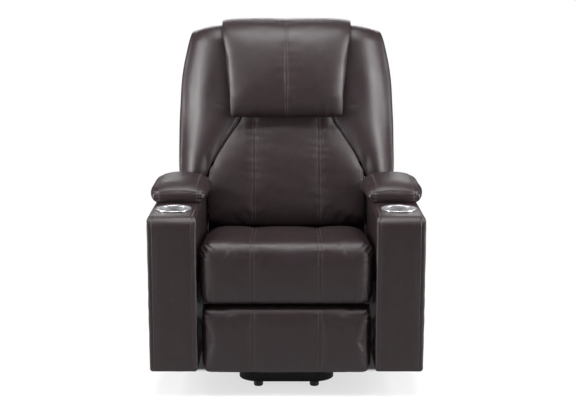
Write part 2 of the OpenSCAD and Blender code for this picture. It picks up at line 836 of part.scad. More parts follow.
module arm_frame_left() {
    mirror([1, 0, 0]) arm_frame();
}

// Cross section of an arm pad, k times its width and lift times its height, flat below
pad_waist = 24;     // height of the pad's widest line
function pad_ring(y, k, lift) = let (
    mid = (pad_inner_x + pad_outer_x) / 2,
    half = k * (pad_outer_x - pad_inner_x) / 2,
    z0 = arm_top_z + touch)
    concat(
        [[mid + 0.93 * half, y, z0]],
        [for (a = [0:15:180])
            [mid + half * spow(cos(a), 0.6), y,
                z0 + lift * (pad_waist + (pad_h - pad_waist) * pow(sin(a), 0.8))]],
        [for (f = [-0.93, -0.4, 0.4]) [mid + f * half, y, z0]]);

pad_places = [0, 0.02, 0.06, 0.13, 0.22, 0.34, 0.46, 0.58, 0.7, 0.82, 0.9, 0.95, 0.98, 1];
module arm_pad() {
    len_y = pad_rear_y - pad_front_y;
    rings = [for (f = pad_places) let (
        a = min(f / 0.13, 1),
        b = min((1 - f) / 0.10, 1),
        k = mix(0.86, 1, pow(sin(90 * a), 0.6)) * mix(0.94, 1, pow(sin(90 * b), 0.6)),
        lift = mix(0.64, 1, pow(sin(90 * a), 0.55)) * mix(0.82, 1, pow(sin(90 * b), 0.7)))
        pad_ring(pad_front_y + len_y * f, k, lift)];
    color(leather) loft([for (r = rings) [for (i = [len(r) - 1:-1:0]) r[i]]]);
}

module arm_pad_right() {
    arm_pad();
}

module arm_pad_left() {
    mirror([1, 0, 0]) arm_pad();
}

module cup_holder() {
    r = cup_bore / 2;
    color(polished_steel) translate([cup_x, cup_y, arm_top_z]) rotate_extrude($fn = 96) {
        translate([0, -cup_depth - cup_wall]) square([r + cup_wall, cup_wall]);
        translate([r, -cup_depth - cup_wall]) square([cup_wall, cup_depth + cup_wall + 1]);
        translate([r, 0]) square([cup_flange_d / 2 - r, cup_wall]);
        translate([cup_flange_d / 2 - cup_rim / 2, cup_rim / 2]) circle(d = cup_rim, $fn = 24);
        translate([r + cup_wall, cup_rim / 2]) circle(d = cup_rim, $fn = 24);
    }
}

module cup_holder_right() {
    cup_holder();
}

module cup_holder_left() {
    mirror([1, 0, 0]) cup_holder();
}

socket_x = 150;
socket_flange_d = 30;
socket_body_d = 20;
module rear_apron() {
    color(leather) difference() {
        translate([-arm_inner_x, apron_y, apron_bottom])
            cube([2 * arm_inner_x, apron_t, apron_top - apron_bottom]);
        for (x = [-socket_x, socket_x]) translate([x, apron_y + apron_t + bury, socket_z]) rotate([90, 0, 0])
            cylinder(d = socket_body_d + 0.2, h = apron_t + 2 * bury);
    }
}

module socket(bore) {
    color(black_plastic) translate([0, apron_y, socket_z]) rotate([-90, 0, 0]) difference() {
        union() {
            translate([0, 0, -10]) cylinder(d = socket_body_d, h = 10 + apron_t);
            translate([0, 0, apron_t]) cylinder(d = socket_flange_d, h = 2.5);
        }
        translate([0, 0, -6]) cylinder(d = bore, h = 30);
    }
}

module power_inlet() {
    translate([-socket_x, 0, 0]) socket(inlet_bore);
}

module handset_socket() {
    translate([socket_x, 0, 0]) socket(handset_bore);
}

module control_box() {
    w = 96;
    d = 44;
    h = 30;
    color(black_plastic) difference() {
        translate([-150 - w / 2, rear_cross_y - d, rear_cross_z - 6]) cube([w, d, h]);
        for (x = [-176, -150, -124]) translate([x, rear_cross_y - d - bury, rear_cross_z + 8])
            rotate([-90, 0, 0]) cylinder(d = 11, h = 9);
    }
}

// ---------- back ----------

back_frame_half = plane1;
post_w = 30;
member_h = 50;      // height of the frame's cross members
mid_member_v = 330;
post_bottom = 24;
post_top = back_top - 25;
frame_rear = back_frame_front + back_frame_d;
cushion_rear = back_frame_front - 3.5 - touch;

module back_frame() {
    color(wood) on_back() {
        both() translate([back_frame_half - post_w, back_frame_front, post_bottom])
            cube([post_w, back_frame_d, post_top - post_bottom]);
        for (v = [post_bottom, mid_member_v, post_top - member_h])
            translate([-back_frame_half + bury, back_frame_front, v])
                cube([2 * (back_frame_half - bury), back_frame_d, member_h]);
    }
    color(black_steel) {
        both() side(clevis_gap, clevis_t)
            bar([hinge_y + 44, hinge_z + 26], back_f, act_pin_d);
        pin(back_f, act_pin_d, -clevis_gap - bury, clevis_gap + bury);
    }
}

plate_post = [hinge_y + (back_frame_front + 24) * cos(back_tilt) + 110 * sin(back_tilt),
    hinge_z - (back_frame_front + 24) * sin(back_tilt) + 110 * cos(back_tilt)];
module back_hinge_plates() {
    color(zinc_steel) both() difference() {
        side(plane1, link_t) {
            bar(hinge, drive_k, eye_r + 2);
            bar(hinge, plate_post, 20);
        }
        side(plane1 - bury, link_t + 2 * bury) {
            eye(hinge, hinge_pin_d + pin_clear);
            eye(drive_k, link_pin_d + pin_clear);
        }
    }
}

module back_hinge_pins() {
    color(zinc_steel) both() {
        pin(hinge, hinge_pin_d, plane1 - 1, arm_inner_x - 0.2);
        pin(hinge, hinge_pin_d + 6, plane1 - 2.5, plane1 - 0.2);
    }
}

strap_levels = [110, 210, 430, 530];
strap_h = 50;
strap_t = 3;
strap_inset = 6;
module back_webbing() {
    w = back_frame_half - strap_inset;
    color(webbing) on_back() for (v = strap_levels)
        translate([-w, back_frame_front - strap_t, v]) cube([2 * w, strap_t, strap_h]);
}

// Half width of the centre cushion along the back: straight between the arms, then in to the top
seam_v = [36, 128, 134, 217, 315, back_top];         // heights at which its edge changes course
seam_w = [seat_rear_half, seat_rear_half + 16, seat_rear_half + 16, 229, 166, 150];   // half widths there
function seam_step(v) = len([for (k = [1:4]) if (v >= seam_v[k]) k]);
function seam_half(v) = let (
    k = seam_step(v),
    f = (v - seam_v[k]) / (seam_v[k + 1] - seam_v[k]))
    mix(seam_w[k], seam_w[k + 1], k == 0 || k == 3 ? smooth(f) : f);
wing_corner_h = 22;
// Outer half width of the wings along the back: narrower towards the top, with a rounded corner
function wing_out(v) = wing_half - wing_taper * pow(max(0, v - 400) / 223, 1.8)
    - wing_corner * pow(max(0, v - back_top + wing_corner_h) / wing_corner_h, 2.4);

// Rear plane of the soft parts: over the top of the back frame they run back to its rear
function soft_rear(v) = v > post_top + 1 ? frame_rear : cushion_rear;

wing_gap = 5;       // from the sewn line between the cushion and a wing to the wing's side
cushion_across = [0.84, 0.94, 0.985, 1];
function cushion_ring(v) = let (
    h = seam_half(v) - 1,
    lean = tan(back_tilt) * (1 - smooth((v - 20) / 130)),
    ends = edge_inset(v - 14, 44) + edge_inset(back_top - v, 60),
    one = concat([0, back_seam_x * 0.45, back_seam_x - 9, back_seam_x, back_seam_x + 9],
        cushion_across * h),
    xs = concat([for (i = [len(one) - 1:-1:1]) -one[i]], one))
    concat([for (x = xs) let (
        u = abs(x) / h,
        w = -back_front + 20 * pow(u, 14) - back_crown * (1 - u * u)
            + channel(abs(x) - back_seam_x, 8, 8) + ends)
        [x, w, v + (w - cushion_rear) * lean]],
        [for (u = [1, 0.5, 0, -0.5, -1]) [u * h, soft_rear(v), v]]);

module back_cushion() {
    levels = [14, 18, 30, 52, 90, 134, 155, 176, 197, 217, 235, 254, 276, 298, 315, 420, 520, 590,
        post_top + 0.6, post_top + 1.6, back_top - 10, back_top];
    color(leather) on_back() loft([for (v = levels) cushion_ring(v)]);
}

wing_lobe = 26;     // how far the front of a wing hangs below the rest of its underside
function wing_droop(x, w, v) = wing_lobe * smooth((x - arm_inner_x) / 30) * smooth((-w - 75) / 65)
    * (1 - smooth((v - wing_bottom) / 60));
// Cross section of a wing: front puff, rounded outer side, flat rear, cut around the back frame.
// Its lower rings lean so that the wing's underside is level at rest.
function wing_ring(v) = let (
    lean = tan(back_tilt) * (1 - smooth((v - wing_bottom) / 130)),
    x1 = wing_out(v),
    ends = edge_inset(v - wing_bottom, 40) * 0.8 + edge_inset(back_top - v, 70),
    f0 = -back_front + 20,
    puff = [for (i = [0:8]) let (
        u = i / 8,
        w = f0 - wing_crown * pow(sin(180 * pow(u, 0.8)), 0.75) - 16 * smooth(u * 2.2) + 34 * pow(u, 7) + ends)
        [u, min(w, 0)]],
    inner = max([for (w = [f0 - wing_crown, cushion_rear]) seam_half(v + w * lean)]) + wing_gap,
    step = v > post_top + 1 ? inner : max(back_frame_half + 1.5, inner),
    flat = concat(
        [for (p = puff) [mix(seam_half(v + p[1] * lean) + wing_gap, x1 - 12, p[0]), p[1]]],
        [for (a = [30, 60]) [x1 - 12 + 12 * sin(a), min(f0 + 18 + ends + 34 * (1 - cos(a)), 4)]],
        [[x1, min(f0 + 60 + ends, 8)], [x1, 20], [x1, frame_rear - 16], [x1 - 14, frame_rear],
            [step, frame_rear], [step, mix(frame_rear, soft_rear(v), 0.999)],
            [seam_half(v + cushion_rear * lean) + wing_gap, cushion_rear]]))
    [for (q = flat) [q[0], q[1], v + q[1] * lean - wing_droop(q[0], q[1], v)]];

module wing() {
    levels = [wing_bottom, wing_bottom + 3, wing_bottom + 14, wing_bottom + 38, 236, 256, 276, 298, 315,
        400, 480, 550, 600, post_top + 0.6, post_top + 1.6, back_top - 14, back_top - 5, back_top];
    color(leather) on_back() loft([for (v = levels) wing_ring(v)]);
}

module wing_right() {
    wing();
}

module wing_left() {
    mirror([1, 0, 0]) wing();
}

// Under-surface of the headrest in the back's frame: [w, v, outward w, outward v, thickness, half width]
head_path_top = back_top + touch;
head_plane = -back_front - 22;
head_path = [
    [frame_rear - 4, head_path_top, 0, 1, 10, head_top_half - 14],
    [frame_rear - 10, head_path_top, 0, 1, head_top_t - 6, head_top_half - 6],
    [frame_rear - 34, head_path_top, 0, 1, head_top_t - 2, head_top_half],
    [-30, head_path_top, 0, 1, head_top_t, head_top_half],
    [-110, head_path_top, 0, 1, head_top_t, head_top_half],
    [head_plane + 70, head_path_top, 0, 1, head_top_t, head_top_half],
    [head_plane + 50, head_path_top - 2, -0.3, 0.95, head_top_t, head_top_half],
    [head_plane + 24, head_path_top - 14, -0.6, 0.8, head_top_t + 5, head_top_half],
    [head_plane + 8, head_path_top - 36, -0.86, 0.5, head_top_t + 16, head_top_half - 1],
    [head_plane + 1, head_path_top - 64, -0.98, 0.2, head_front_t - 12, head_top_half - 3],
    [head_plane, 540, -1, 0, head_front_t - 3, mix(head_top_half, head_low_half, 0.3)],
    [head_plane, 460, -1, 0, head_front_t, mix(head_top_half, head_low_half, 0.55)],
    [head_plane, 400, -1, 0, head_front_t - 4, mix(head_top_half, head_low_half, 0.76)],
    [head_plane, head_low + 36, -1, -0.1, head_front_t - 16, head_low_half + 4],
    [head_plane, head_low + 16, -1, -0.2, head_front_t - 32, head_low_half + 1],
    [head_plane, head_low + 4, -1, -0.3, 16, head_low_half - 5]
];
function head_ring(q) = [for (i = [0:21]) let (
    a = 360 * (i + 0.5) / 22,
    x = q[5] * spow(cos(a), 0.42),
    t = q[4] * (1 + spow(sin(a), 0.5)) / 2 - (sin(a) > 0 ? channel(x, 4, 9) : 0))
    [x, q[0] + q[2] * t, q[1] + q[3] * t]];

module headrest() {
    color(leather) on_back() loft([for (i = [len(head_path) - 1:-1:0]) head_ring(head_path[i])]);
}

module rear_cover() {
    low = -18;
    r = 60;
    x1 = wing_half - wing_taper - 6;
    color(leather) on_back() translate([0, frame_rear + touch + rear_cover_t, 0]) rotate([90, 0, 0])
        linear_extrude(rear_cover_t) {
            translate([-seat_rear_half, low]) square([2 * seat_rear_half, wing_bottom - low + bury]);
            translate([-x1, wing_bottom]) square([2 * x1, back_top - 12 - r - wing_bottom]);
            translate([-x1 + r, wing_bottom]) square([2 * (x1 - r), back_top - 12 - wing_bottom]);
            for (s = [-1, 1]) translate([s * (x1 - r), back_top - 12 - r]) circle(r);
        }
}

// ---------- footrest and its links ----------

// Stud that is part of one link and turns in its neighbour
module stud(p, x0, x1) {
    pin(p, link_pin_d, x0, x1);
}

module foot_rear_links() {
    color(zinc_steel) both() difference() {
        union() {
            side(plane1, link_t) {
                bar(foot_a, foot_p, link_r);
                bar(foot_a, drive_q, eye_r);
                eye(foot_a, 2 * eye_r + 2);
                eye(foot_p, 2 * eye_r);
            }
            stud(foot_p, plane2 - 0.4, plane1 + bury);
        }
        side(plane1 - bury, link_t + 2 * bury) eye(foot_a, link_pin_d + pin_clear);
        side(plane1 - bury, link_t + 2 * bury) eye(drive_q, link_pin_d + link_open);
    }
}

module foot_upper_links() {
    color(zinc_steel) both() difference() {
        side(plane2, link_t) {
            bar(foot_p, foot_r, link_r);
            eye(foot_p, 2 * eye_r);
            eye(foot_m, 2 * eye_r + 2);
            eye(foot_r, 2 * eye_r);
        }
        side(plane2 - bury, link_t + 2 * bury) {
            eye(foot_p, link_pin_d + pin_clear);
            eye(foot_m, link_pin_d + link_open);
            eye(foot_r, link_pin_d + pin_clear);
        }
    }
}

module foot_front_links() {
    color(zinc_steel) both() difference() {
        union() {
            side(plane3, link_t) {
                bar(foot_b, foot_n, link_r);
                eye(foot_b, 2 * eye_r + 2);
                eye(foot_n, 2 * eye_r);
            }
            stud(foot_m, plane3 + bury, plane2 + link_t + 0.4);
            stud(foot_n, plane4 - 0.4, plane3 + bury);
        }
        side(plane3 - bury, link_t + 2 * bury) eye(foot_b, link_pin_d + pin_clear);
    }
}

module foot_lower_links() {
    color(zinc_steel) both() difference() {
        side(plane4, link_t) {
            bar(foot_n, foot_s, link_r);
            eye(foot_n, 2 * eye_r);
            eye(foot_s, 2 * eye_r);
        }
        side(plane4 - bury, link_t + 2 * bury) {
            eye(foot_n, link_pin_d + pin_clear);
            eye(foot_s, link_pin_d + link_open);
        }
    }
}

// Pins of the two fixed pivots, held in the rails
module foot_pivot_pins() {
    color(zinc_steel) both() {
        pin(foot_a, link_pin_d, plane1 - 0.4, arm_inner_x - 0.2);
        pin(foot_b, link_pin_d, plane3 - 0.4, arm_inner_x - 0.2);
    }
}

module drive_links() {
    color(zinc_steel) both() difference() {
        union() {
            side(plane2, link_t) {
                bar(drive_k, drive_q, link_r - 1);
                eye(drive_k, 2 * eye_r);
                eye(drive_q, 2 * eye_r);
            }
            stud(drive_q, plane2 + bury, plane1 + link_t + 0.4);
            stud(drive_k, plane2 + bury, plane1 + link_t + 0.4);
        }
    }
}

bracket_t = 4;
module foot_brackets() {
    color(zinc_steel) both() {
        side(plane3, link_t) {
            bar(foot_r, foot_s, eye_r);
            translate([board_rear_y, foot_s[1]]) square([foot_s[0] - board_rear_y, foot_r[1] - foot_s[1]]);
        }
        stud(foot_r, plane3 + bury, plane2 + link_t + 0.4);
        stud(foot_s, plane4 - 0.4, plane3 + bury);
        translate([plane4 - 22, board_rear_y, foot_s[1] - 4])
            cube([plane3 - plane4 + 22 + link_t, bracket_t, foot_r[1] - foot_s[1] + 8]);
    }
}

module foot_board() {
    color(wood) translate([-foot_board_half, board_front_y, foot_bottom_z + 10])
        cube([2 * foot_board_half, foot_board_t, foot_top_z - foot_bottom_z - 16]);
}

// Side outline of the footrest cushion, as for the seat
foot_outline = [
    [foot_front_y + 22, foot_bottom_z + 1, 0.4, 0.6, 0.2],
    [foot_front_y + 44, foot_bottom_z, 0, 0.5, 0],
    [board_front_y - touch, foot_bottom_z + 3, 0, 0.3, 0],
    [board_front_y - touch, (foot_bottom_z + foot_top_z) / 2, 0, 0, 0],
    [board_front_y - touch, foot_top_z - 2, 0, -0.3, 0],
    [foot_front_y + 44, foot_top_z, 0, -0.5, 0],
    [foot_front_y + 20, foot_top_z - 2, 0.4, -0.6, 0.3],
    [foot_front_y + 8, foot_top_z - 12, 0.75, -0.3, 0.8],
    [foot_front_y + 2, foot_top_z - 34, 1, 0, 1],
    for (f = [0.25, 0.5, 0.75]) [foot_front_y, mix(foot_top_z - 40, foot_bottom_z + 40, f), 1, 0, 1],
    [foot_front_y + 2, foot_bottom_z + 30, 1, 0, 1],
    [foot_front_y + 9, foot_bottom_z + 9, 0.72, 0.3, 0.8]
];
foot_round = 26;
function foot_ring(x) = let (
    t = edge_inset(foot_half - abs(x), foot_round),
    c = channel(abs(x) - seat_seam_x, seam_depth, 7))
    [for (p = foot_outline) [x, p[0] + p[2] * (t + c * p[4]), p[1] + p[3] * (t + c * p[4])]];

module foot_cushion() {
    color(leather) loft([for (x = across(foot_half, seat_seam_x, foot_round)) foot_ring(x)]);
}

base_frame();
base_feet();
base_pivot_pins();
front_lift_links();
rear_lift_links();
lift_motor();
lift_tube();
lift_rod();
seat_rails();
lift_hanger_pins();
rail_bolts();
seat_frame();
seat_springs();
seat_cushion();
arm_frame_left();
arm_frame_right();
arm_cover_left();
arm_cover_right();
arm_pad_left();
arm_pad_right();
cup_holder_left();
cup_holder_right();
rear_apron();
power_inlet();
handset_socket();
control_box();
back_frame();
back_hinge_plates();
back_hinge_pins();
back_webbing();
back_cushion();
wing_left();
wing_right();
headrest();
rear_cover();
recline_motor();
recline_tube();
recline_rod();
drive_links();
foot_rear_links();
foot_upper_links();
foot_front_links();
foot_lower_links();
foot_pivot_pins();
foot_brackets();
foot_board();
foot_cushion();
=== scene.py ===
import json
import math
import bpy
import numpy as np
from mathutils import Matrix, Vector


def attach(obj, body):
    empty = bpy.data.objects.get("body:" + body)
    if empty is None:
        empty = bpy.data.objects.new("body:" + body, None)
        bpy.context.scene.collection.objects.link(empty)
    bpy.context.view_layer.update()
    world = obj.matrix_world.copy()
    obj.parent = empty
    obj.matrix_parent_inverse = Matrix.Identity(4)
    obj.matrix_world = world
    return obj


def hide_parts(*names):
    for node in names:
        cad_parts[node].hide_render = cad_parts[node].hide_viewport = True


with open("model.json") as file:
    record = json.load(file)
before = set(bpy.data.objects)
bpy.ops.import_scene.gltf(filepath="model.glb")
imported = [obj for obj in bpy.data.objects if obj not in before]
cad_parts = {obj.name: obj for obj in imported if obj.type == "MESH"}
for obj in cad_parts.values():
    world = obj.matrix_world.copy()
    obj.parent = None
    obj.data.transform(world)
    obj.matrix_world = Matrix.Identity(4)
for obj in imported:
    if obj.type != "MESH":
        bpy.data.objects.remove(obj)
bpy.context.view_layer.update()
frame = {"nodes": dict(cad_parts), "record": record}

scene = bpy.context.scene
mm = 0.001

# the back is drawn upright and leans by backLean about its hinge line
backPlace = {"hingeY": 177, "hingeZ": 430, "lean": math.radians(14)}


def smoothStep(f):
    # 3f^2 - 2f^3, held at 0 and 1 outside the span
    c = np.clip(f, 0, 1)
    return c * c * (3 - 2 * c)


def mixTo(a, b, f):
    # a at f = 0 and b at f = 1
    return a + (b - a) * f


def bell(d, width):
    # exp(-(d / width)^2): 1 in the middle, gone at about twice the width
    return np.exp(-(d / width) ** 2)


def waver(t, pace, sway, slow, shift=0):
    # a sine along t whose spacing drifts with a second, slower sine
    return np.sin(t * pace + sway * np.sin(t * slow + shift))


def signedPower(v, e):
    # power of the size of v, with the sign of v kept
    return np.sign(v) * np.abs(v) ** e


def edgeInset(t, r):
    # how far a round edge of radius r lies inside its corner, at distance t from the end
    c = np.clip(t, 0, r)
    return r - np.sqrt(np.maximum(r * r - (r - c) ** 2, 0))


def arcPoints(cx, cz, r, start, end, count):
    # part of a circle of radius r about (cx, cz), between two angles in degrees
    t = np.radians(np.linspace(start, end, count))
    return np.stack([cx + r * np.cos(t), cz + r * np.sin(t)], axis=1)


def onBack(x, w, v):
    # back coordinates, x across, w to the rear and v up, turned by the lean and set on the hinge
    c, s = math.cos(backPlace["lean"]), math.sin(backPlace["lean"])
    y = backPlace["hingeY"] + w * c + v * s
    z = backPlace["hingeZ"] - w * s + v * c
    return np.stack(np.broadcast_arrays(x, y, z), axis=-1)


def offBack(points):
    # the w and v of points, the other way round from onBack
    c, s = math.cos(backPlace["lean"]), math.sin(backPlace["lean"])
    y, z = points[:, 1] - backPlace["hingeY"], points[:, 2] - backPlace["hingeZ"]
    return y * c - z * s, y * s + z * c


def slabRing(x, front, rear, v):
    # one ring of a flat slab on the back: across at its front, and back again at its rear
    return np.concatenate([onBack(x, front, v), onBack(x[::-1], rear, v)])


def smoothLoop(points, count):
    # closed Catmull-Rom curve through the points, sampled evenly by its length
    p = np.asarray(points, float)
    t = np.linspace(0, 1, 24, endpoint=False)[:, None, None]
    a, b, c, d = np.roll(p, 1, 0), p, np.roll(p, -1, 0), np.roll(p, -2, 0)
    curve = 0.5 * (2 * b + (c - a) * t + (2 * a - 5 * b + 4 * c - d) * t ** 2
                   + (3 * b - a - 3 * c + d) * t ** 3)
    curve = curve.transpose(1, 0, 2).reshape(-1, p.shape[1])
    curve = np.vstack([curve, curve[:1]])
    run = np.concatenate([[0], np.cumsum(np.linalg.norm(np.diff(curve, axis=0), axis=1))])
    s = np.linspace(0, run[-1], count, endpoint=False)
    return np.stack([np.interp(s, run, curve[:, k]) for k in range(curve.shape[1])], axis=1)


def smoothRows(rows, count):
    # open Catmull-Rom curve through table rows, sampled evenly by row number
    p = np.asarray(rows, float)
    p = np.vstack([2 * p[0] - p[1], p, 2 * p[-1] - p[-2]])
    s = np.linspace(0, len(rows) - 1, count)
    i = np.minimum(s.astype(int), len(rows) - 2)
    t = (s - i)[:, None]
    a, b, c, d = p[i], p[i + 1], p[i + 2], p[i + 3]
    return 0.5 * (2 * b + (c - a) * t + (2 * a - 5 * b + 4 * c - d) * t ** 2
                  + (3 * b - a - 3 * c + d) * t ** 3)


def makeMesh(name, verts, faces):
    mesh = bpy.data.meshes.new(name)
    mesh.from_pydata(verts, [], faces)
    mesh.update()
    return mesh


def addPiece(name, mesh):
    obj = bpy.data.objects.new(name, mesh)
    scene.collection.objects.link(obj)
    mesh.shade_smooth()
    return obj


def gridQuads(m, n, closed=True):
    # quads between neighbouring rows of an m by n grid, wrapping round each row when closed
    i, j = np.meshgrid(np.arange(m - 1), np.arange(n if closed else n - 1), indexing="ij")
    a = i * n + j
    b = i * n + (j + 1) % n
    return np.stack([a, b, b + n, a + n], axis=-1).reshape(-1, 4)


def loftSolid(name, rings, across=None, along=None, mids=None, capSteps=(0.86, 0.7, 0.52, 0.34, 0.16)):
    # rings joined by quads; each end is closed by smaller rings drawn towards its middle and one point
    rings = np.asarray(rings, float) * mm
    n = rings.shape[1]
    mids = [rings[0].mean(0), rings[-1].mean(0)] if mids is None else np.asarray(mids, float) * mm
    low = [mids[0] + (rings[0] - mids[0]) * k for k in reversed(capSteps)]
    high = [mids[1] + (rings[-1] - mids[1]) * k for k in capSteps]
    allRings = np.concatenate([np.array(low).reshape(-1, n, 3), rings, np.array(high).reshape(-1, n, 3)])
    rows = len(allRings)
    verts = np.vstack([allRings.reshape(-1, 3), mids[0][None], mids[1][None]])
    j = np.arange(n)
    k = (j + 1) % n
    last = (rows - 1) * n
    lowFan = np.stack([k, j, np.full(n, rows * n)], axis=1)
    highFan = np.stack([last + j, last + k, np.full(n, rows * n + 1)], axis=1)
    quads = gridQuads(rows, n)
    tri = verts[np.vstack([quads[:, :3], quads[:, [0, 2, 3]], lowFan, highFan])]
    volume = np.einsum("ij,ij->i", tri[:, 0], np.cross(tri[:, 1], tri[:, 2])).sum()
    flip = slice(None, None, -1 if volume < 0 else 1)
    faces = quads[:, flip].tolist() + lowFan[:, flip].tolist() + highFan[:, flip].tolist()
    mesh = makeMesh(name, verts, faces)
    for label, grid in (("across", across), ("along", along)):
        values = np.zeros(len(verts))
        if grid is not None:
            grid = np.asarray(grid, float) * mm
            steps = len(capSteps)
            full = np.concatenate([np.repeat(grid[:1], steps, 0), grid, np.repeat(grid[-1:], steps, 0)])
            values = np.concatenate([full.ravel(), [grid[0].mean(), grid[-1].mean()]])
        layer = mesh.attributes.new(label, "FLOAT", "POINT")
        layer.data.foreach_set("value", values.astype(np.float32))
    return addPiece(name, mesh)


def drawnIn(loop, share, inset):
    # y and z of an outline for each inset: points moved inwards, square to the outline, by their share of it
    tangent = np.roll(loop, -1, 0) - np.roll(loop, 1, 0)
    inward = np.stack([-tangent[:, 1], tangent[:, 0]], axis=1)
    inward /= np.linalg.norm(inward, axis=1, keepdims=True)
    return loop.T[:, None] + (inward * share[:, None]).T[:, None] * inset[:, None]


def readPoints(mesh, what="co"):
    out = np.empty(len(mesh.vertices) * 3, np.float32)
    if what == "co":
        mesh.vertices.foreach_get("co", out)
    else:
        mesh.vertex_normals.foreach_get("vector", out)
    return out.reshape(-1, 3).astype(float)


def writePoints(mesh, points):
    mesh.vertices.foreach_set("co", points.astype(np.float32).ravel())
    mesh.update()


def readLayer(mesh, label):
    out = np.empty(len(mesh.vertices), np.float32)
    mesh.attributes[label].data.foreach_get("value", out)
    return out.astype(float)


def seamHold(obj, seam, width=7):
    # 1 on the sewn lines at seam to each side of the middle, less beside them
    return bell(np.abs(readLayer(obj.data, "across")) / mm - seam, width)


def puffOut(obj, pins, pressure, cap, stiffness=15, frames=20):
    # blown up from inside as cloth for a short time; each point moves cap * tanh(move / cap) at most
    group = obj.vertex_groups.new(name="held")
    weights = np.clip(pins, 0, 1)
    for level in (0.25, 0.5, 0.75, 1.0):
        chosen = np.nonzero(np.abs(np.round(weights * 4) / 4 - level) < 0.01)[0]
        group.add(chosen.tolist(), level, "REPLACE")
    start = readPoints(obj.data)
    cloth = obj.modifiers.new("cloth", "CLOTH")
    cloth.settings.quality = 5
    cloth.settings.mass = 0.3
    cloth.settings.tension_stiffness = stiffness
    cloth.settings.compression_stiffness = stiffness
    cloth.settings.shear_stiffness = stiffness / 3
    cloth.settings.bending_stiffness = 0.5
    cloth.settings.vertex_group_mass = "held"
    cloth.settings.use_pressure = True
    cloth.settings.uniform_pressure_force = pressure
    cloth.settings.effector_weights.gravity = 0
    cloth.point_cache.frame_start = 1
    cloth.point_cache.frame_end = frames
    for f in range(1, frames + 1):
        scene.frame_set(f)
    blown = obj.evaluated_get(bpy.context.evaluated_depsgraph_get())
    end = readPoints(blown.to_mesh())
    blown.to_mesh_clear()
    obj.modifiers.remove(cloth)
    obj.vertex_groups.remove(group)
    scene.frame_set(1)
    move = end - start
    size = np.linalg.norm(move, axis=1, keepdims=True)
    limit = cap * mm
    writePoints(obj.data, start + move * (limit * np.tanh(size / limit) / np.maximum(size, 1e-9)))


def refine(obj, relief, levels=1):
    # one subdivision made real, then every point moved along its normal by relief, in millimetres
    if levels:
        sub = obj.modifiers.new("smooth", "SUBSURF")
        sub.levels = sub.render_levels = levels
        mesh = bpy.data.meshes.new_from_object(obj.evaluated_get(bpy.context.evaluated_depsgraph_get()))
        obj.modifiers.remove(sub)
        old, obj.data = obj.data, mesh
        mesh.name = obj.name
        bpy.data.meshes.remove(old)
    mesh = obj.data
    points, normals = readPoints(mesh), readPoints(mesh, "normal")
    lift = relief(points / mm, readLayer(mesh, "across") / mm, readLayer(mesh, "along") / mm, normals)
    writePoints(mesh, points + normals * (lift * mm)[:, None])
    mesh.shade_smooth()
    return obj


def waves(points, seed, size, count=7):
    # sum of count sine waves in fixed pseudo-random directions, about size millimetres long, from -1 to 1
    rng = np.random.default_rng(seed)
    total = np.zeros(len(points))
    for _ in range(count):
        way = rng.normal(size=3)
        way /= np.linalg.norm(way)
        total += np.sin(points @ way * (2 * np.pi / (size * rng.uniform(0.7, 1.5))) + rng.uniform(0, 6.3))
    return total / count ** 0.5 / 1.6


def uneven(points, layers):
    # waves of several sizes added up, each given by its height, seed and size
    return sum(height * waves(points, seed, size) for height, seed, size in layers)


def puckers(off, along, across, look):
    # short waves that run along a seam, strongest a little beside it
    beside = look["height"] * bell(off - look["beside"], look["width"])
    return beside * waver(along, look["pace"], look["sway"], look["slow"], across * look["tilt"])


def crease(points, a, b, width, depth, fade=0.35):
    # one soft fold from a to b: a bell across its line, fading out towards both ends
    a, b = np.asarray(a, float), np.asarray(b, float)
    d = b - a
    s = (points - a) @ d / (d @ d)
    off = np.linalg.norm(points - a - np.clip(s, 0, 1)[:, None] * d, axis=1)
    reach = smoothStep(s / fade + 0.2) * smoothStep((1 - s) / fade + 0.2)
    return depth * bell(off, width) * reach


def seamLine(d, channel):
    # wide soft channel with a raised strip between two needle lines, each a narrow groove
    depth, width, pitch = channel
    return -depth * bell(d, width) - 0.8 * bell(np.abs(d) - pitch, 1.5)


stitch = {"step": 5.2, "length": 3.9, "thread": 0.9}


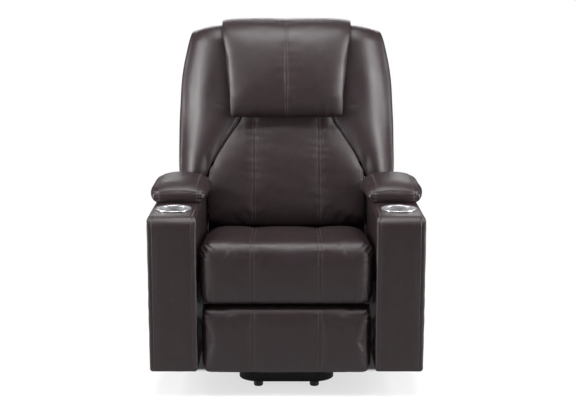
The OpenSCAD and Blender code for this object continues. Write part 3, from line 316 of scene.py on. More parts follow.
def stitchRow(path, normals):
    # short round threads laid end to end along a path, each a bent six-sided bar just above the surface
    path, normals = np.asarray(path, float), np.asarray(normals, float)
    run = np.concatenate([[0], np.cumsum(np.linalg.norm(np.diff(path, axis=0), axis=1))])
    step = stitch["step"] * mm
    count = int(run[-1] / step)
    starts = (np.arange(count) + 0.5) * step
    u = np.array([-0.5, -0.38, -0.2, 0, 0.2, 0.38, 0.5]) * stitch["length"] * mm
    s = starts[:, None] + u[None]
    at = np.stack([np.interp(s, run, path[:, k]) for k in range(3)], axis=-1)
    up = np.stack([np.interp(s, run, normals[:, k]) for k in range(3)], axis=-1)
    up /= np.linalg.norm(up, axis=-1, keepdims=True)
    ahead = np.gradient(at, axis=1)
    ahead /= np.maximum(np.linalg.norm(ahead, axis=-1, keepdims=True), 1e-9)
    side = np.cross(ahead, up)
    bow = np.sqrt(np.maximum(1 - (2 * u / (stitch["length"] * mm)) ** 2, 0))
    r = stitch["thread"] * mm / 2
    thick = r * (0.35 + 0.65 * bow)
    centre = at + up * ((bow - 0.55) * r)[None, :, None]
    rows, n = len(u), 6
    turn = np.arange(n) * 2 * np.pi / n
    ring = side[:, :, None] * np.cos(turn)[:, None] + up[:, :, None] * np.sin(turn)[:, None]
    verts = centre[:, :, None] + ring * thick[:, None, None]
    quads = gridQuads(rows, n)
    ends = np.array([[0, 1, 2, 3], [0, 3, 4, 5]])
    ends = np.vstack([ends[:, ::-1], ends + (rows - 1) * n])
    one = np.vstack([quads, ends])
    faces = (one[None] + (np.arange(count) * rows * n)[:, None, None]).reshape(-1, 4)
    flat = verts.reshape(-1, 3)
    tri = flat[one[:, :3]]
    outward = np.cross(tri[:, 1] - tri[:, 0], tri[:, 2] - tri[:, 0])
    if (outward * (tri.mean(1) - flat[:rows * n].mean(0))).sum() < 0:
        faces = faces[:, ::-1]
    return flat, faces


def addThreads(name, rows, body):
    # the rows as one piece, their faces numbered on from row to row
    first = np.cumsum([0] + [len(verts) for verts, faces in rows[:-1]])
    faces = np.vstack([faces + base for (verts, faces), base in zip(rows, first)])
    obj = addPiece(name, makeMesh(name, np.vstack([verts for verts, faces in rows]), faces.tolist()))
    dress(obj, body, [], thread)


def columnPath(obj, label, value, keep=None, step=3.0):
    # where the mesh's edges cross label = value, averaged in short bins of the other layer
    mesh = obj.data
    points, normals = readPoints(mesh), readPoints(mesh, "normal")
    first, second = readLayer(mesh, label), readLayer(mesh, "along" if label == "across" else "across")
    ends = np.empty(len(mesh.edges) * 2, np.int32)
    mesh.edges.foreach_get("vertices", ends)
    i, j = ends.reshape(-1, 2).T
    a, b = first[i] - (value + 0.02) * mm, first[j] - (value + 0.02) * mm
    cut = (a * b < 0) & (np.abs(first[i] - first[j]) < 0.03)
    i, j, f = i[cut], j[cut], (a[cut] / (a[cut] - b[cut]))[:, None]
    at, up = points[i] * (1 - f) + points[j] * f, normals[i] * (1 - f) + normals[j] * f
    place = second[i] * (1 - f[:, 0]) + second[j] * f[:, 0]
    if keep is not None:
        kept = keep(at / mm, up)
        at, up, place = at[kept], up[kept], place[kept]
    where = np.unique(np.round(place / (step * mm)).astype(int), return_inverse=True)[1]
    count = np.bincount(where)
    return tuple(np.stack([np.bincount(where, v[:, k]) / count for k in range(3)], axis=1) for v in (at, up))


# finishes

def newGroup(name, inputs, outputs):
    group = bpy.data.node_groups.new(name, "ShaderNodeTree")
    for label, kind, value in inputs:
        socket = group.interface.new_socket(label, in_out="INPUT", socket_type=kind)
        if value is not None:
            socket.default_value = value
    for label, kind in outputs:
        group.interface.new_socket(label, in_out="OUTPUT", socket_type=kind)
    return group, group.nodes.new("NodeGroupInput"), group.nodes.new("NodeGroupOutput")


def setInputs(node, values):
    for key, value in values.items():
        node.inputs[key].default_value = value
    return node


def addNode(tree, kind, values=None, **settings):
    node = tree.nodes.new(kind)
    for key, value in settings.items():
        setattr(node, key, value)
    return setInputs(node, values or {})


def mathNode(tree, operation, a, b=None, clamp=False):
    # a maths node on sockets or plain numbers
    node = addNode(tree, "ShaderNodeMath", operation=operation, use_clamp=clamp)
    for socket, value in zip(node.inputs, (a, b)):
        if isinstance(value, (int, float)):
            socket.default_value = value
        elif value is not None:
            tree.links.new(value, socket)
    return node.outputs[0]


def times(tree, a, b, clamp=False):
    return mathNode(tree, "MULTIPLY", a, b, clamp)


def plus(tree, a, b, clamp=False):
    return mathNode(tree, "ADD", a, b, clamp)


def rampNode(tree, value, stops):
    node = addNode(tree, "ShaderNodeValToRGB")
    points = node.color_ramp.elements
    while len(points) < len(stops):
        points.new(0.5)
    for point, (place, shade) in zip(points, stops):
        point.position = place
        point.color = (shade, shade, shade, 1) if isinstance(shade, float) else (*shade, 1)
    tree.links.new(value, node.inputs[0])
    return node.outputs[0]


def colourMix(tree, factor, a, b, blend="MIX"):
    node = addNode(tree, "ShaderNodeMix", data_type="RGBA", blend_type=blend)
    for socket, value in ((node.inputs[0], factor), (node.inputs[6], a), (node.inputs[7], b)):
        if isinstance(value, (int, float)):
            socket.default_value = value
        elif isinstance(value, tuple):
            socket.default_value = (*value, 1) if len(value) == 3 else value
        else:
            tree.links.new(value, socket)
    return node.outputs[2]


def texture(tree, kind, values=None, lay=None, **settings):
    # a texture or vector node on the object's own coordinates, stretched or turned first where lay is given
    node = addNode(tree, kind, values, **settings)
    place = addNode(tree, "ShaderNodeTexCoord").outputs["Object"]
    if lay:
        mapping = addNode(tree, "ShaderNodeMapping", lay)
        tree.links.new(place, mapping.inputs["Vector"])
        place = mapping.outputs["Vector"]
    tree.links.new(place, node.inputs["Vector"])
    return node


def grainGroup():
    # fine pebbled cells, softened by larger creases, with colour and gloss that change with them
    number, colour = "NodeSocketFloat", "NodeSocketColor"
    group, enter, leave = newGroup(
        "grain",
        [("Cell", number, 650.0), ("Crease", number, 55.0), ("Dark", colour, (0, 0, 0, 1)),
         ("Light", colour, (0, 0, 0, 1)), ("Gloss", number, 0.4)],
        [("Height", number), ("Colour", colour), ("Roughness", number)])
    link = group.links.new
    cells = texture(group, "ShaderNodeTexVoronoi", {"Randomness": 0.9}, feature="SMOOTH_F1")
    edges = texture(group, "ShaderNodeTexVoronoi", {"Randomness": 1.0}, feature="DISTANCE_TO_EDGE")
    broad = texture(group, "ShaderNodeTexNoise", {"Detail": 5.0, "Roughness": 0.62, "Distortion": 0.6})
    cloudy = texture(group, "ShaderNodeTexNoise", {"Scale": 9.0, "Detail": 3.0, "Roughness": 0.55})
    link(enter.outputs["Cell"], cells.inputs["Scale"])
    link(enter.outputs["Cell"], edges.inputs["Scale"])
    link(enter.outputs["Crease"], broad.inputs["Scale"])
    rim = rampNode(group, edges.outputs["Distance"], [(0.0, 0.0), (0.16, 0.75), (0.45, 1.0)])
    fold = rampNode(group, broad.outputs["Fac"], [(0.36, 0.0), (0.5, 0.72), (0.68, 1.0)])
    valley = mathNode(group, "SUBTRACT", 1.0, rim)
    height = plus(group, times(group, rim, 0.6), times(group, fold, 0.4))
    height = mathNode(group, "SUBTRACT", height, times(group, cells.outputs["Distance"], 0.25))
    link(height, leave.inputs["Height"])
    tone = times(group, plus(group, fold, cloudy.outputs["Fac"]), 0.5, clamp=True)
    shade = colourMix(group, tone, enter.outputs["Dark"], enter.outputs["Light"])
    shade = colourMix(group, times(group, valley, 0.35), shade, enter.outputs["Dark"])
    link(shade, leave.inputs["Colour"])
    spread = times(group, mathNode(group, "SUBTRACT", cloudy.outputs["Fac"], 0.5), 0.22)
    rough = mathNode(group, "SUBTRACT", enter.outputs["Gloss"], spread)
    link(plus(group, rough, times(group, valley, 0.12), clamp=True), leave.inputs["Roughness"])
    return group


def wearGroup():
    # brighter, rubbed ridges from the surface's own pointiness, broken up by noise
    number, colour = "NodeSocketFloat", "NodeSocketColor"
    group, enter, leave = newGroup(
        "edgeWear",
        [("Base", colour, (0, 0, 0, 1)), ("Rubbed", colour, (1, 1, 1, 1)), ("Amount", number, 0.5),
         ("Scale", number, 90.0)],
        [("Colour", colour), ("Mask", number)])
    link = group.links.new
    shape = addNode(group, "ShaderNodeNewGeometry")
    noise = texture(group, "ShaderNodeTexNoise", {"Detail": 6.0, "Roughness": 0.7})
    link(enter.outputs["Scale"], noise.inputs["Scale"])
    ridge = rampNode(group, shape.outputs["Pointiness"], [(0.505, 0.0), (0.56, 1.0)])
    broken = rampNode(group, noise.outputs["Fac"], [(0.42, 0.0), (0.6, 1.0)])
    mask = times(group, times(group, ridge, broken), enter.outputs["Amount"], clamp=True)
    link(mask, leave.inputs["Mask"])
    link(colourMix(group, mask, enter.outputs["Base"], enter.outputs["Rubbed"]), leave.inputs["Colour"])
    return group


grain = grainGroup()
edgeWear = wearGroup()


def newMaterial(name, preview, **shader):
    material = bpy.data.materials.new(name)
    material.use_nodes = True
    material.diffuse_color = (*preview, 1)
    tree = material.node_tree
    principled = tree.nodes["Principled BSDF"]
    principled.inputs["Base Color"].default_value = (*preview, 1)
    for key, value in shader.items():
        principled.inputs[key.replace("_", " ")].default_value = value
    return material, tree, principled


def bumpFrom(tree, principled, height, distance, strength):
    bump = addNode(tree, "ShaderNodeBump", {"Strength": strength, "Distance": distance})
    tree.links.new(height, bump.inputs["Height"])
    tree.links.new(bump.outputs["Normal"], principled.inputs["Normal"])


def wearOver(tree, principled, base, rubbed, amount, scale):
    # the edge wear group between a base colour and the shader
    rub = addNode(tree, "ShaderNodeGroup", node_tree=edgeWear)
    setInputs(rub, {"Rubbed": (*rubbed, 1), "Amount": amount, "Scale": scale})
    tree.links.new(base, rub.inputs["Base"])
    tree.links.new(rub.outputs["Colour"], principled.inputs["Base Color"])


def shadesOf(tree, factor, base, dark, light):
    # the base colour, from darker to lighter with the factor
    return colourMix(tree, factor, tuple(c * dark for c in base), tuple(min(c * light, 1) for c in base))


leatherLook = {"dark": (0.0112, 0.0058, 0.0068), "light": (0.0236, 0.0128, 0.0145),
               "rubbed": (0.042, 0.028, 0.030), "wear": 0.35, "gloss": 0.34, "cell": 620.0, "crease": 48.0,
               "bump": 0.00028}


def makeLeather(name, look):
    material, tree, shader = newMaterial(name, look["light"], Specular_IOR_Level=0.5)
    skin = addNode(tree, "ShaderNodeGroup", node_tree=grain)
    setInputs(skin, {"Cell": look["cell"], "Crease": look["crease"], "Dark": (*look["dark"], 1),
                     "Light": (*look["light"], 1), "Gloss": look["gloss"]})
    wearOver(tree, shader, skin.outputs["Colour"], look["rubbed"], look["wear"], 70.0)
    tree.links.new(skin.outputs["Roughness"], shader.inputs["Roughness"])
    bumpFrom(tree, shader, skin.outputs["Height"], look["bump"], 0.7)
    return material


metalLooks = {
    "blackSteel": {"base": (0.006, 0.006, 0.0065), "rubbed": (0.05, 0.05, 0.053), "roughness": 0.34,
                   "wear": 0.25, "metallic": 0.0, "specular": 0.16, "bump": 0.00003, "streak": (1, 1, 1)},
    "zincSteel": {"base": (0.17, 0.172, 0.18), "rubbed": (0.5, 0.5, 0.52), "roughness": 0.42,
                  "wear": 0.5, "metallic": 1.0, "specular": 0.5, "bump": 0.00002, "streak": (1, 1, 1)},
    "polishedSteel": {"base": (0.62, 0.62, 0.63), "rubbed": (0.85, 0.85, 0.86), "roughness": 0.27,
                      "wear": 0.3, "metallic": 0.78, "specular": 0.5, "bump": 0.00002, "streak": (1, 1, 12)}}


def makeMetal(name):
    # fine noise, drawn out along the streak, changes colour, gloss and height a little
    look = metalLooks[name]
    material, tree, shader = newMaterial(name, look["base"], Roughness=look["roughness"],
                                         Metallic=look["metallic"], Specular_IOR_Level=look["specular"])
    fine = texture(tree, "ShaderNodeTexNoise", {"Scale": 260.0, "Detail": 6.0, "Roughness": 0.65},
                   {"Scale": look["streak"]}).outputs["Fac"]
    shade = shadesOf(tree, fine, look["base"], 0.82, 1.12)
    wearOver(tree, shader, shade, look["rubbed"], look["wear"], 140.0)
    rough = plus(tree, times(tree, fine, 0.16), look["roughness"] - 0.08, clamp=True)
    tree.links.new(rough, shader.inputs["Roughness"])
    bumpFrom(tree, shader, fine, look["bump"], 0.5)
    return material


def makePlastic(name, base, roughness):
    # clouds change colour and gloss, a fine spark noise the height
    material, tree, shader = newMaterial(name, base, Roughness=roughness)
    spark = texture(tree, "ShaderNodeTexNoise", {"Scale": 900.0, "Detail": 3.0, "Roughness": 0.7})
    cloud = texture(tree, "ShaderNodeTexNoise", {"Scale": 14.0, "Detail": 3.0}).outputs["Fac"]
    rubbed = [min(c * 2.4, 1) for c in base]
    wearOver(tree, shader, shadesOf(tree, cloud, base, 0.85, 1.2), rubbed, 0.4, 120.0)
    tree.links.new(plus(tree, times(tree, cloud, 0.14), roughness - 0.07), shader.inputs["Roughness"])
    bumpFrom(tree, shader, spark.outputs["Fac"], 0.00004, 0.5)
    return material


def makeWood():
    # drawn-out rings in two browns, darkened by pores
    light, dark, grainWay = (0.58, 0.41, 0.24), (0.36, 0.22, 0.11), {"Scale": (1.0, 1.0, 16.0)}
    material, tree, shader = newMaterial("plywood", light, Roughness=0.62)
    rings = texture(tree, "ShaderNodeTexWave",
                    {"Scale": 1.1, "Distortion": 7.0, "Detail": 4.0, "Detail Scale": 1.6}, grainWay)
    pores = texture(tree, "ShaderNodeTexNoise", {"Scale": 130.0, "Detail": 5.0, "Roughness": 0.7}, grainWay)
    shade = colourMix(tree, rings.outputs["Fac"], light, dark)
    speck = rampNode(tree, pores.outputs["Fac"], [(0.35, 0.6), (0.55, 1.0)])
    tree.links.new(colourMix(tree, 1.0, shade, speck, "MULTIPLY"), shader.inputs["Base Color"])
    bumpFrom(tree, shader, pores.outputs["Fac"], 0.0003, 0.4)
    return material


def makeWebbing():
    # two sets of fine bands, the second turned square to the first
    dark, light = (0.05, 0.045, 0.04), (0.16, 0.145, 0.13)
    material, tree, shader = newMaterial("webbing", light, Roughness=0.85)
    bands = [texture(tree, "ShaderNodeTexWave", {"Scale": 160.0, "Distortion": 0.3},
                     {"Rotation": (0.0, turn, 0.0)}).outputs["Fac"] for turn in (0.0, math.pi / 2)]
    height = mathNode(tree, "MAXIMUM", *bands)
    tree.links.new(colourMix(tree, height, dark, light), shader.inputs["Base Color"])
    bumpFrom(tree, shader, height, 0.0005, 0.8)
    return material


leather = makeLeather("leather", leatherLook)
thread = makePlastic("thread", (0.075, 0.046, 0.042), 0.5)
polishedSteel = makeMetal("polishedSteel")
webbing = makeWebbing()
slotFinish = {"leather": leather, "webbing": webbing, "polished_steel": polishedSteel, "wood": makeWood(),
              "black_steel": makeMetal("blackSteel"), "zinc_steel": makeMetal("zincSteel"),
              "black_plastic": makePlastic("blackPlastic", (0.018, 0.018, 0.019), 0.48)}
print("finishes made")

for entry in frame["record"]["subparts"]:
    node = frame["nodes"][entry["node"]]
    node.data.materials.clear()
    node.data.materials.append(slotFinish[entry["material_slot"]])


def dress(obj, body, nodes, material=leather):
    # the piece's finish, the body it rides on, and the solids it stands for
    obj.data.materials.clear()
    obj.data.materials.append(material)
    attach(obj, body)
    if nodes:
        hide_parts(*nodes)
    return obj


# seat cushion

seat = {"front": -423, "rear": 68, "half": 256, "rearHalf": 245.5, "lip": 291, "frontTop": 480,
        "rearTop": 437, "bed": 353.6, "crown": 7, "sink": 10, "round": 36, "seam": 101,
        "channel": (1.1, 16, 5), "columns": 78, "ringPoints": 150, "pressure": 4.0, "cap": 11,
        "waves": ((0.9, 3, 150), (0.22, 5, 46)),
        "pucker": {"beside": 4, "width": 26, "height": 0.3, "pace": 0.31, "sway": 1.3, "slow": 0.07,
                   "tilt": 0.02},
        "underBack": {"y": 56, "z": 478, "round": 44, "gap": 2.5}, "linkSide": 250.4}


def seatOutline(s):
    # side outline from the lip, under the cushion, up its rear, over the crowned top and down the round front
    f, r, lip, bed, top = s["front"], s["rear"], s["lip"], s["bed"], s["frontTop"]
    k = np.linspace(0.06, 0.95, 7)
    crown = s["crown"] * np.sin(math.pi * k) - s["sink"] * (1 - k) ** 6
    over = np.stack([mixTo(r - 24, f + 56, k), mixTo(s["rearTop"], top, k) + crown], axis=1)
    under = np.linspace((f + 96, bed), (r - 20, bed), 9)
    lipPoints = [[f + 26, lip], [f + 39, lip + 4], [f + 52, lip + 26], [f + 55, bed - 2], [f + 70, bed]]
    rearPoints = [[r, bed + 4], [r + 1, bed + 34], [r - 6, s["rearTop"] - 12]]
    frontPoints = [[f + 34, top - 1], [f + 16, top - 13], [f + 5, top - 34], [f + 2, top - 66],
                   [f + 2, top - 104], [f + 3, lip + 46], [f + 5, lip + 22], [f + 12, lip + 6]]
    return np.vstack([lipPoints, under, rearPoints, over, frontPoints])


def seamSpread(s):
    # x places across a cushion: even, with close columns at each sewn seam and at both edges
    base = np.linspace(-s["half"], s["half"], s["columns"])
    seams = np.array([-s["seam"], s["seam"]])
    close = seams[:, None] + np.array([-9, -5.5, -2, 2, 5.5, 9])
    away = np.abs(base[:, None] - seams).min(1) > 11
    edge = s["half"] - np.array([0.4, 1.6, 3.8, 7.5, 12])
    return np.unique(np.round(np.concatenate([base[away], close.ravel(), -edge, edge]), 2))


def seatRings(s):
    # the outline at each x, drawn in by the round side edges and narrowed towards the rear
    loop = smoothLoop(seatOutline(s), s["ringPoints"])
    under = (loop[:, 1] < s["bed"] + 8) & (loop[:, 0] > s["front"] + 50)
    xs = seamSpread(s)
    y, z = drawnIn(loop, np.where(under, 0.0, 1.0), edgeInset(s["half"] - np.abs(xs), s["round"]))
    rearward = smoothStep((loop[:, 0] + 110) / 80) * (1 - smoothStep((loop[:, 1] - 408) / 20))
    x = xs[:, None] * mixTo(1, s["rearHalf"] / s["half"], rearward)
    along = np.broadcast_to(np.arange(s["ringPoints"]) * 9.0, x.shape)
    return np.stack([x, y, z], axis=-1), np.broadcast_to(xs[:, None], x.shape), along


def seatRelief(points, across, along, normals):
    # channels along the seams, folds at the front corners and above the lip, puckers at the seams, and waves
    x, y, z = points.T
    s = seat
    wide, fromSide = np.abs(x), s["half"] - np.abs(x)
    hidden = smoothStep((y - s["front"] - 22) / 8) * smoothStep((s["bed"] + 10 - z) / 8)
    shown = smoothStep((normals[:, 2] + 0.35) / 0.4) + smoothStep((-normals[:, 1] - 0.2) / 0.3)
    shown = np.clip(shown, 0, 1) * (1 - hidden)
    off = np.abs(across) - s["seam"]
    lift = seamLine(off, s["channel"]) * shown * smoothStep((s["rear"] + 5 - y) / 40)
    corner = bell(fromSide, 30) * bell(z - s["frontTop"] + 22, 42) * bell(y - s["front"], 60)
    lift += 2.2 * corner * np.sin((z - 0.9 * wide) * 0.33 + 0.6 * np.sin(wide * 0.11))
    low = bell(z - s["lip"], 30) * bell(y - s["front"], 40) * bell(fromSide, 70)
    lift += 1.3 * low * waver(across, 0.34, 1.1, 0.06)
    return lift + shown * (puckers(np.abs(off), along, across, s["pucker"]) + uneven(points, s["waves"]))


rings, across, along = seatRings(seat)
seatCushion = loftSolid("seatCushion", rings, across, along,
                        mids=[(k * seat["half"], seat["front"] + 60, 412) for k in (-1, 1)])
points = readPoints(seatCushion.data) / mm
bedHold = np.clip(1.2 - (points[:, 2] - seat["bed"]) / 14, 0, 1) * (points[:, 1] > seat["front"] + 20)
sideHold = (np.abs(points[:, 0]) > seat["half"] - 6) * 0.75
rearHold = smoothStep((points[:, 1] - seat["rear"] + 16) / 12)
held = np.maximum.reduce([bedHold, seamHold(seatCushion, seat["seam"]), sideHold, rearHold])
puffOut(seatCushion, held, seat["pressure"], seat["cap"])


def underBack(obj, edge):
    # keeps the cushion's rear below the round lower edge of the back
    points = readPoints(obj.data) / mm
    y, r = points[:, 1], edge["round"]
    drop = np.sqrt(np.maximum(r * r - np.clip(edge["y"] - y, 0, r) ** 2, 0))
    most = np.where(y > edge["y"] - r, edge["z"] - drop - edge["gap"], np.inf)
    points[:, 2] = np.minimum(points[:, 2], most)
    writePoints(obj.data, points * mm)


def insideLinks(obj, limit):
    # the rear corners of the cushion stay inside the links that turn beside them, and widen away from them
    points = readPoints(obj.data) / mm
    x, y, z = points.T
    most = limit + 20 * (1 - smoothStep((y + 90) / 50)) + 8 * smoothStep((z - 419) / 6)
    points[:, 0] = np.clip(x, -most, most)
    writePoints(obj.data, points * mm)


underBack(seatCushion, seat["underBack"])
refine(seatCushion, seatRelief)
insideLinks(seatCushion, seat["linkSide"])
dress(seatCushion, "seat_body", ["seat_cushion"])
print("seat cushion made")


# footrest cushion

foot = {"front": -423, "bottom": 77.5, "top": 281, "rear": -353.6, "half": 250.5, "round": 20, "seam": 101,
        "channel": (1.0, 15, 5), "columns": 74, "ringPoints": 96, "pressure": 3.5, "cap": 5,
        "waves": ((0.8, 11, 140), (0.2, 12, 44)),
        "pucker": {"beside": 4, "width": 24, "height": 0.25, "pace": 0.36, "sway": 1.2, "slow": 0.09,
                   "tilt": 0}}


def footRings(s):
    # rounded upright panel, its outline drawn in at both side edges
    f, b, t, r = s["front"] + 4, s["bottom"], s["top"], s["rear"]
    low = [[f + 20, b], [f + 40, b], [r - 3, b + 1], [r, b + 6]]
    high = [[r, t - 6], [r - 3, t - 1], [f + 44, t], [f + 24, t - 1], [f + 9, t - 9], [f + 2, t - 26]]
    outline = [low, np.linspace((r, b + 30), (r, t - 30), 6), high, np.linspace((f, t - 50), (f, b + 50), 5),
               [[f + 1, b + 20], [f + 6, b + 6]]]
    loop = smoothLoop(np.vstack(outline), s["ringPoints"])
    xs = seamSpread(s)
    y, z = drawnIn(loop, np.clip((r - loop[:, 0]) / 30, 0, 1), edgeInset(s["half"] - np.abs(xs), s["round"]))
    x = np.broadcast_to(xs[:, None], y.shape)
    along = np.broadcast_to(np.arange(s["ringPoints"]) * 6.0, x.shape)
    return np.stack([x, y, z], axis=-1), x, along


def footRelief(points, across, along, normals):
    # channels along the seams, folds at the top corners, puckers at the seams, and waves
    s = foot
    wide, z = np.abs(points[:, 0]), points[:, 2]
    shown = smoothStep((-normals[:, 1] + 0.3) / 0.5)
    off = np.abs(across) - s["seam"]
    lift = seamLine(off, s["channel"]) * shown
    corner = bell(z - s["top"] + 14, 26) * bell(s["half"] - wide, 26)
    lift += 1.5 * corner * np.sin((wide * 0.5 - z) * 0.36)
    return lift + shown * (puckers(np.abs(off), along, across, s["pucker"]) + uneven(points, s["waves"]))


rings, across, along = footRings(foot)
footCushion = loftSolid("footCushion", rings, across, along)
rearHold = np.clip((readPoints(footCushion.data)[:, 1] / mm - foot["rear"] + 12) / 10, 0, 1)
held = np.maximum(rearHold, seamHold(footCushion, foot["seam"]))
puffOut(footCushion, held, foot["pressure"], foot["cap"])
refine(footCushion, footRelief)
dress(footCushion, "footrest", ["foot_cushion"])
print("footrest cushion made")


# back: centre cushion, wings, headrest

back = {"front": -173, "crown": 12, "bottom": 14, "top": 649, "seam": 107, "channel": (1.2, 18, 5),
        "postTop": 625, "rearLow": 11.2, "rearHigh": 77, "lowHalf": 262.5, "lowRound": 44, "topRound": 58,
        "levels": 110, "frontPoints": 74, "rearPoints": 30, "pressure": 4.0, "cap": 9, "gap": 0.4,
        "waves": ((1.2, 21, 170), (0.3, 22, 52)),
        "pucker": {"beside": 5, "width": 28, "height": 0.3, "pace": 0.21, "sway": 1.5, "slow": 0.05,
                   "tilt": 0.015}}

# height up the back and half width of the centre cushion there
seamTable = smoothRows([[0, 246], [36, 246], [70, 254], [100, 261], [134, 262], [168, 251.5], [204, 235],
                        [225, 222], [252, 204], [279, 187], [303, 172], [320, 162], [338, 155], [365, 151],
                        [420, 150], [700, 150]], 320)


def seamHalf(v):
    # half width of the centre cushion: straight between the arms, then in to the top on a smooth curve
    return np.interp(v, seamTable[:, 0], seamTable[:, 1])


def backRings(s):
    # rings up the back: a crowned front with round ends, wide below and sheared level there, and a flat rear
    low = s["bottom"]
    vs = np.concatenate([low + np.array([0, 1, 3, 7, 13]), np.linspace(34, 612, s["levels"]),
                         s["top"] - np.array([30, 24, 18, 12, 7, 3, 0])])
    u = np.linspace(-1, 1, s["frontPoints"])
    rearU = np.linspace(1, -1, s["rearPoints"])
    rings, across = [], []
    for v in vs:
        half = seamHalf(v) - s["gap"]
        lowHalf = mixTo(s["lowHalf"], half, smoothStep((v - 148) / 28))
        x = u * max(half, lowHalf - 14 * (1 - smoothStep((v - low) / 22)))
        lean = math.tan(backPlace["lean"]) * (1 - smoothStep((v - 20) / 130))
        ends = edgeInset(v - low, s["lowRound"]) + edgeInset(s["top"] - v, s["topRound"])
        w = s["front"] + 4 * np.abs(u) ** 24 - s["crown"] * (1 - u * u) + ends
        rear = s["rearHigh"] if v > s["postTop"] + 2 else s["rearLow"]
        lobe = 7 * smoothStep((-w - 60) / 60) * (1 - smoothStep((v - low) / 50))
        face = onBack(x, w, v + (w - s["rearLow"]) * lean - lobe)
        rings.append(np.concatenate([face, onBack(rearU * half, rear, v)]))
        across.append(np.concatenate([x, rearU * half]))
    return np.array(rings), np.array(across), np.repeat(vs[:, None], len(across[0]), 1)


def backRelief(points, across, along, normals):
    # channels along the seams with puckers, a full roll above the seat and a hollow over it, and waves
    s = back
    front = smoothStep((-normals[:, 1] * math.cos(backPlace["lean"]) - 0.25) / 0.3)
    off = np.abs(across) - s["seam"]
    roll = (5 * bell(along - 205, 70) - 4 * bell(along - 318, 26)) * (1 - (np.abs(across) / 260) ** 4)
    lift = seamLine(off, s["channel"]) + puckers(np.abs(off), along, across, s["pucker"])
    return front * (lift + roll + uneven(points, s["waves"]))


rings, across, along = backRings(back)
backCushion = loftSolid("backCushion", rings, across, along)
points = readPoints(backCushion.data) / mm
behind = points[:, 1] >= backPlace["hingeY"] - 40 + (points[:, 2] - backPlace["hingeZ"]) * 0.25
held = np.maximum(behind, seamHold(backCushion, back["seam"]))
puffOut(backCushion, held, back["pressure"], back["cap"])
refine(backCushion, backRelief)
dress(backCushion, "back", ["back_cushion"])
print("back cushion made")


wing = {"half": 361, "bottom": 178, "top": 649, "face": -154, "bulge": 15, "crown": 22, "fall": 34,
        "edge": 12, "taper": 34, "corner": 45, "lowRound": 40, "topRound": 68, "postSide": 259, "levels": 96,
        "ringPoints": 128, "gap": 0.4, "pressure": 4.5, "cap": 9, "sideSeam": (1.2, 6, 3.4),
        "waves": ((1.6, 31, 210), (0.3, 32, 60)), "sideWaves": ((0.9, 33, 120),),
        "folds": (((170, 100, 812), (236, 85, 840), 7, -2.6), ((172, 95, 790), (240, 80, 802), 7, -2.4),
                  ((176, 92, 772), (232, 76, 764), 7, -1.8), ((182, 100, 828), (226, 100, 868), 7, -1.8)),
        "pucker": {"beside": 6, "width": 22, "height": 0.25, "pace": 0.19, "sway": 1.2, "slow": 0.06,
                   "tilt": 0}}


def wingOut(v, s):
    # outer half width: narrower towards the top, with a rounded corner
    taper = s["taper"] * (np.maximum(0, v - 400) / 223) ** 1.8
    corner = s["corner"] * (np.maximum(0, v - s["top"] + 22) / 22) ** 2.4
    return s["half"] - 5 * smoothStep((v - 280) / 150) - taper - corner


def wingProfile(v, lean, s):
    # one level of the wing in x and w: puffed front, round outer side, and a rear cut around the frame post
    out, rear, cut = wingOut(v, s), back["rearHigh"], back["rearLow"]
    ends = edgeInset(v - s["bottom"], s["lowRound"]) * 0.8 + edgeInset(s["top"] - v, s["topRound"])
    face, edge = s["face"], s["edge"]
    u = np.linspace(0, 1, 9)
    puff = face - s["bulge"] - s["crown"] * np.sin(np.pi * u ** 0.9) ** 1.4 + s["fall"] * u ** 7 + ends
    puff = np.minimum(puff, 0)
    inner = seamHalf(v + puff * lean) + s["gap"]
    turn = np.radians([30, 60])
    sideW = np.minimum(face + 18 + ends + 34 * (1 - np.cos(turn)), 4)
    side = np.stack([out - edge + edge * np.sin(turn), sideW], 1)
    inside = seamHalf(v + cut * lean) + s["gap"]
    if v > back["postTop"] + 2:
        step = seamHalf(v) + s["gap"]
        post = [[step, 40], [step, 26], [mixTo(step, inside, 0.5), 18]]
    else:
        step = max(s["postSide"], seamHalf(v - 40 * lean) + s["gap"])
        post = [[step, 50], [step, cut + 3], [mixTo(step, inside, 0.5), cut]]
    last = min(-90, -90 + ends * 0.3)
    last = puff[0] + 8 if last < puff[0] + 4 else last
    before = last + 6 if -40 < last else -40
    return np.vstack([np.stack([mixTo(inner, out - edge, u), puff], 1), side,
                      [[out, min(face + 60 + ends, 6)], [out, 20], [out, 44], [out - 2, rear - 8],
                       [out - 10, rear], [out - 30, rear], [mixTo(out, step, 0.6), rear], [step + 8, rear],
                       [step, rear - 3]], post,
                      [[inside, cut - 2], [mixTo(inside, inner[0], 0.33), before],
                       [mixTo(inside, inner[0], 0.7), last]]])


def wingRings(s):
    # the profile at each level, sheared so that the low end lies level and lowered at its front outer corner
    low, top = s["bottom"], s["top"]
    vs = np.concatenate([low + np.array([0, 0.8, 3, 7, 13, 21]), np.linspace(206, 612, s["levels"]),
                         top - np.array([30, 24, 18, 13, 8, 4, 1, 0])])
    rings = []
    for v in vs:
        lean = math.tan(backPlace["lean"]) * (1 - smoothStep((v - low) / 130))
        x, w = smoothLoop(wingProfile(v, lean, s), s["ringPoints"]).T
        lobe = 26 * smoothStep((x - 250) / 26) * smoothStep((-w - 75) / 65) * (1 - smoothStep((v - low) / 60))
        rings.append(onBack(x, w, v + w * lean - lobe))
    rings = np.array(rings)
    along = np.repeat(vs[:, None], s["ringPoints"], 1)
    return rings, rings[:, :, 0] - seamHalf(along), along


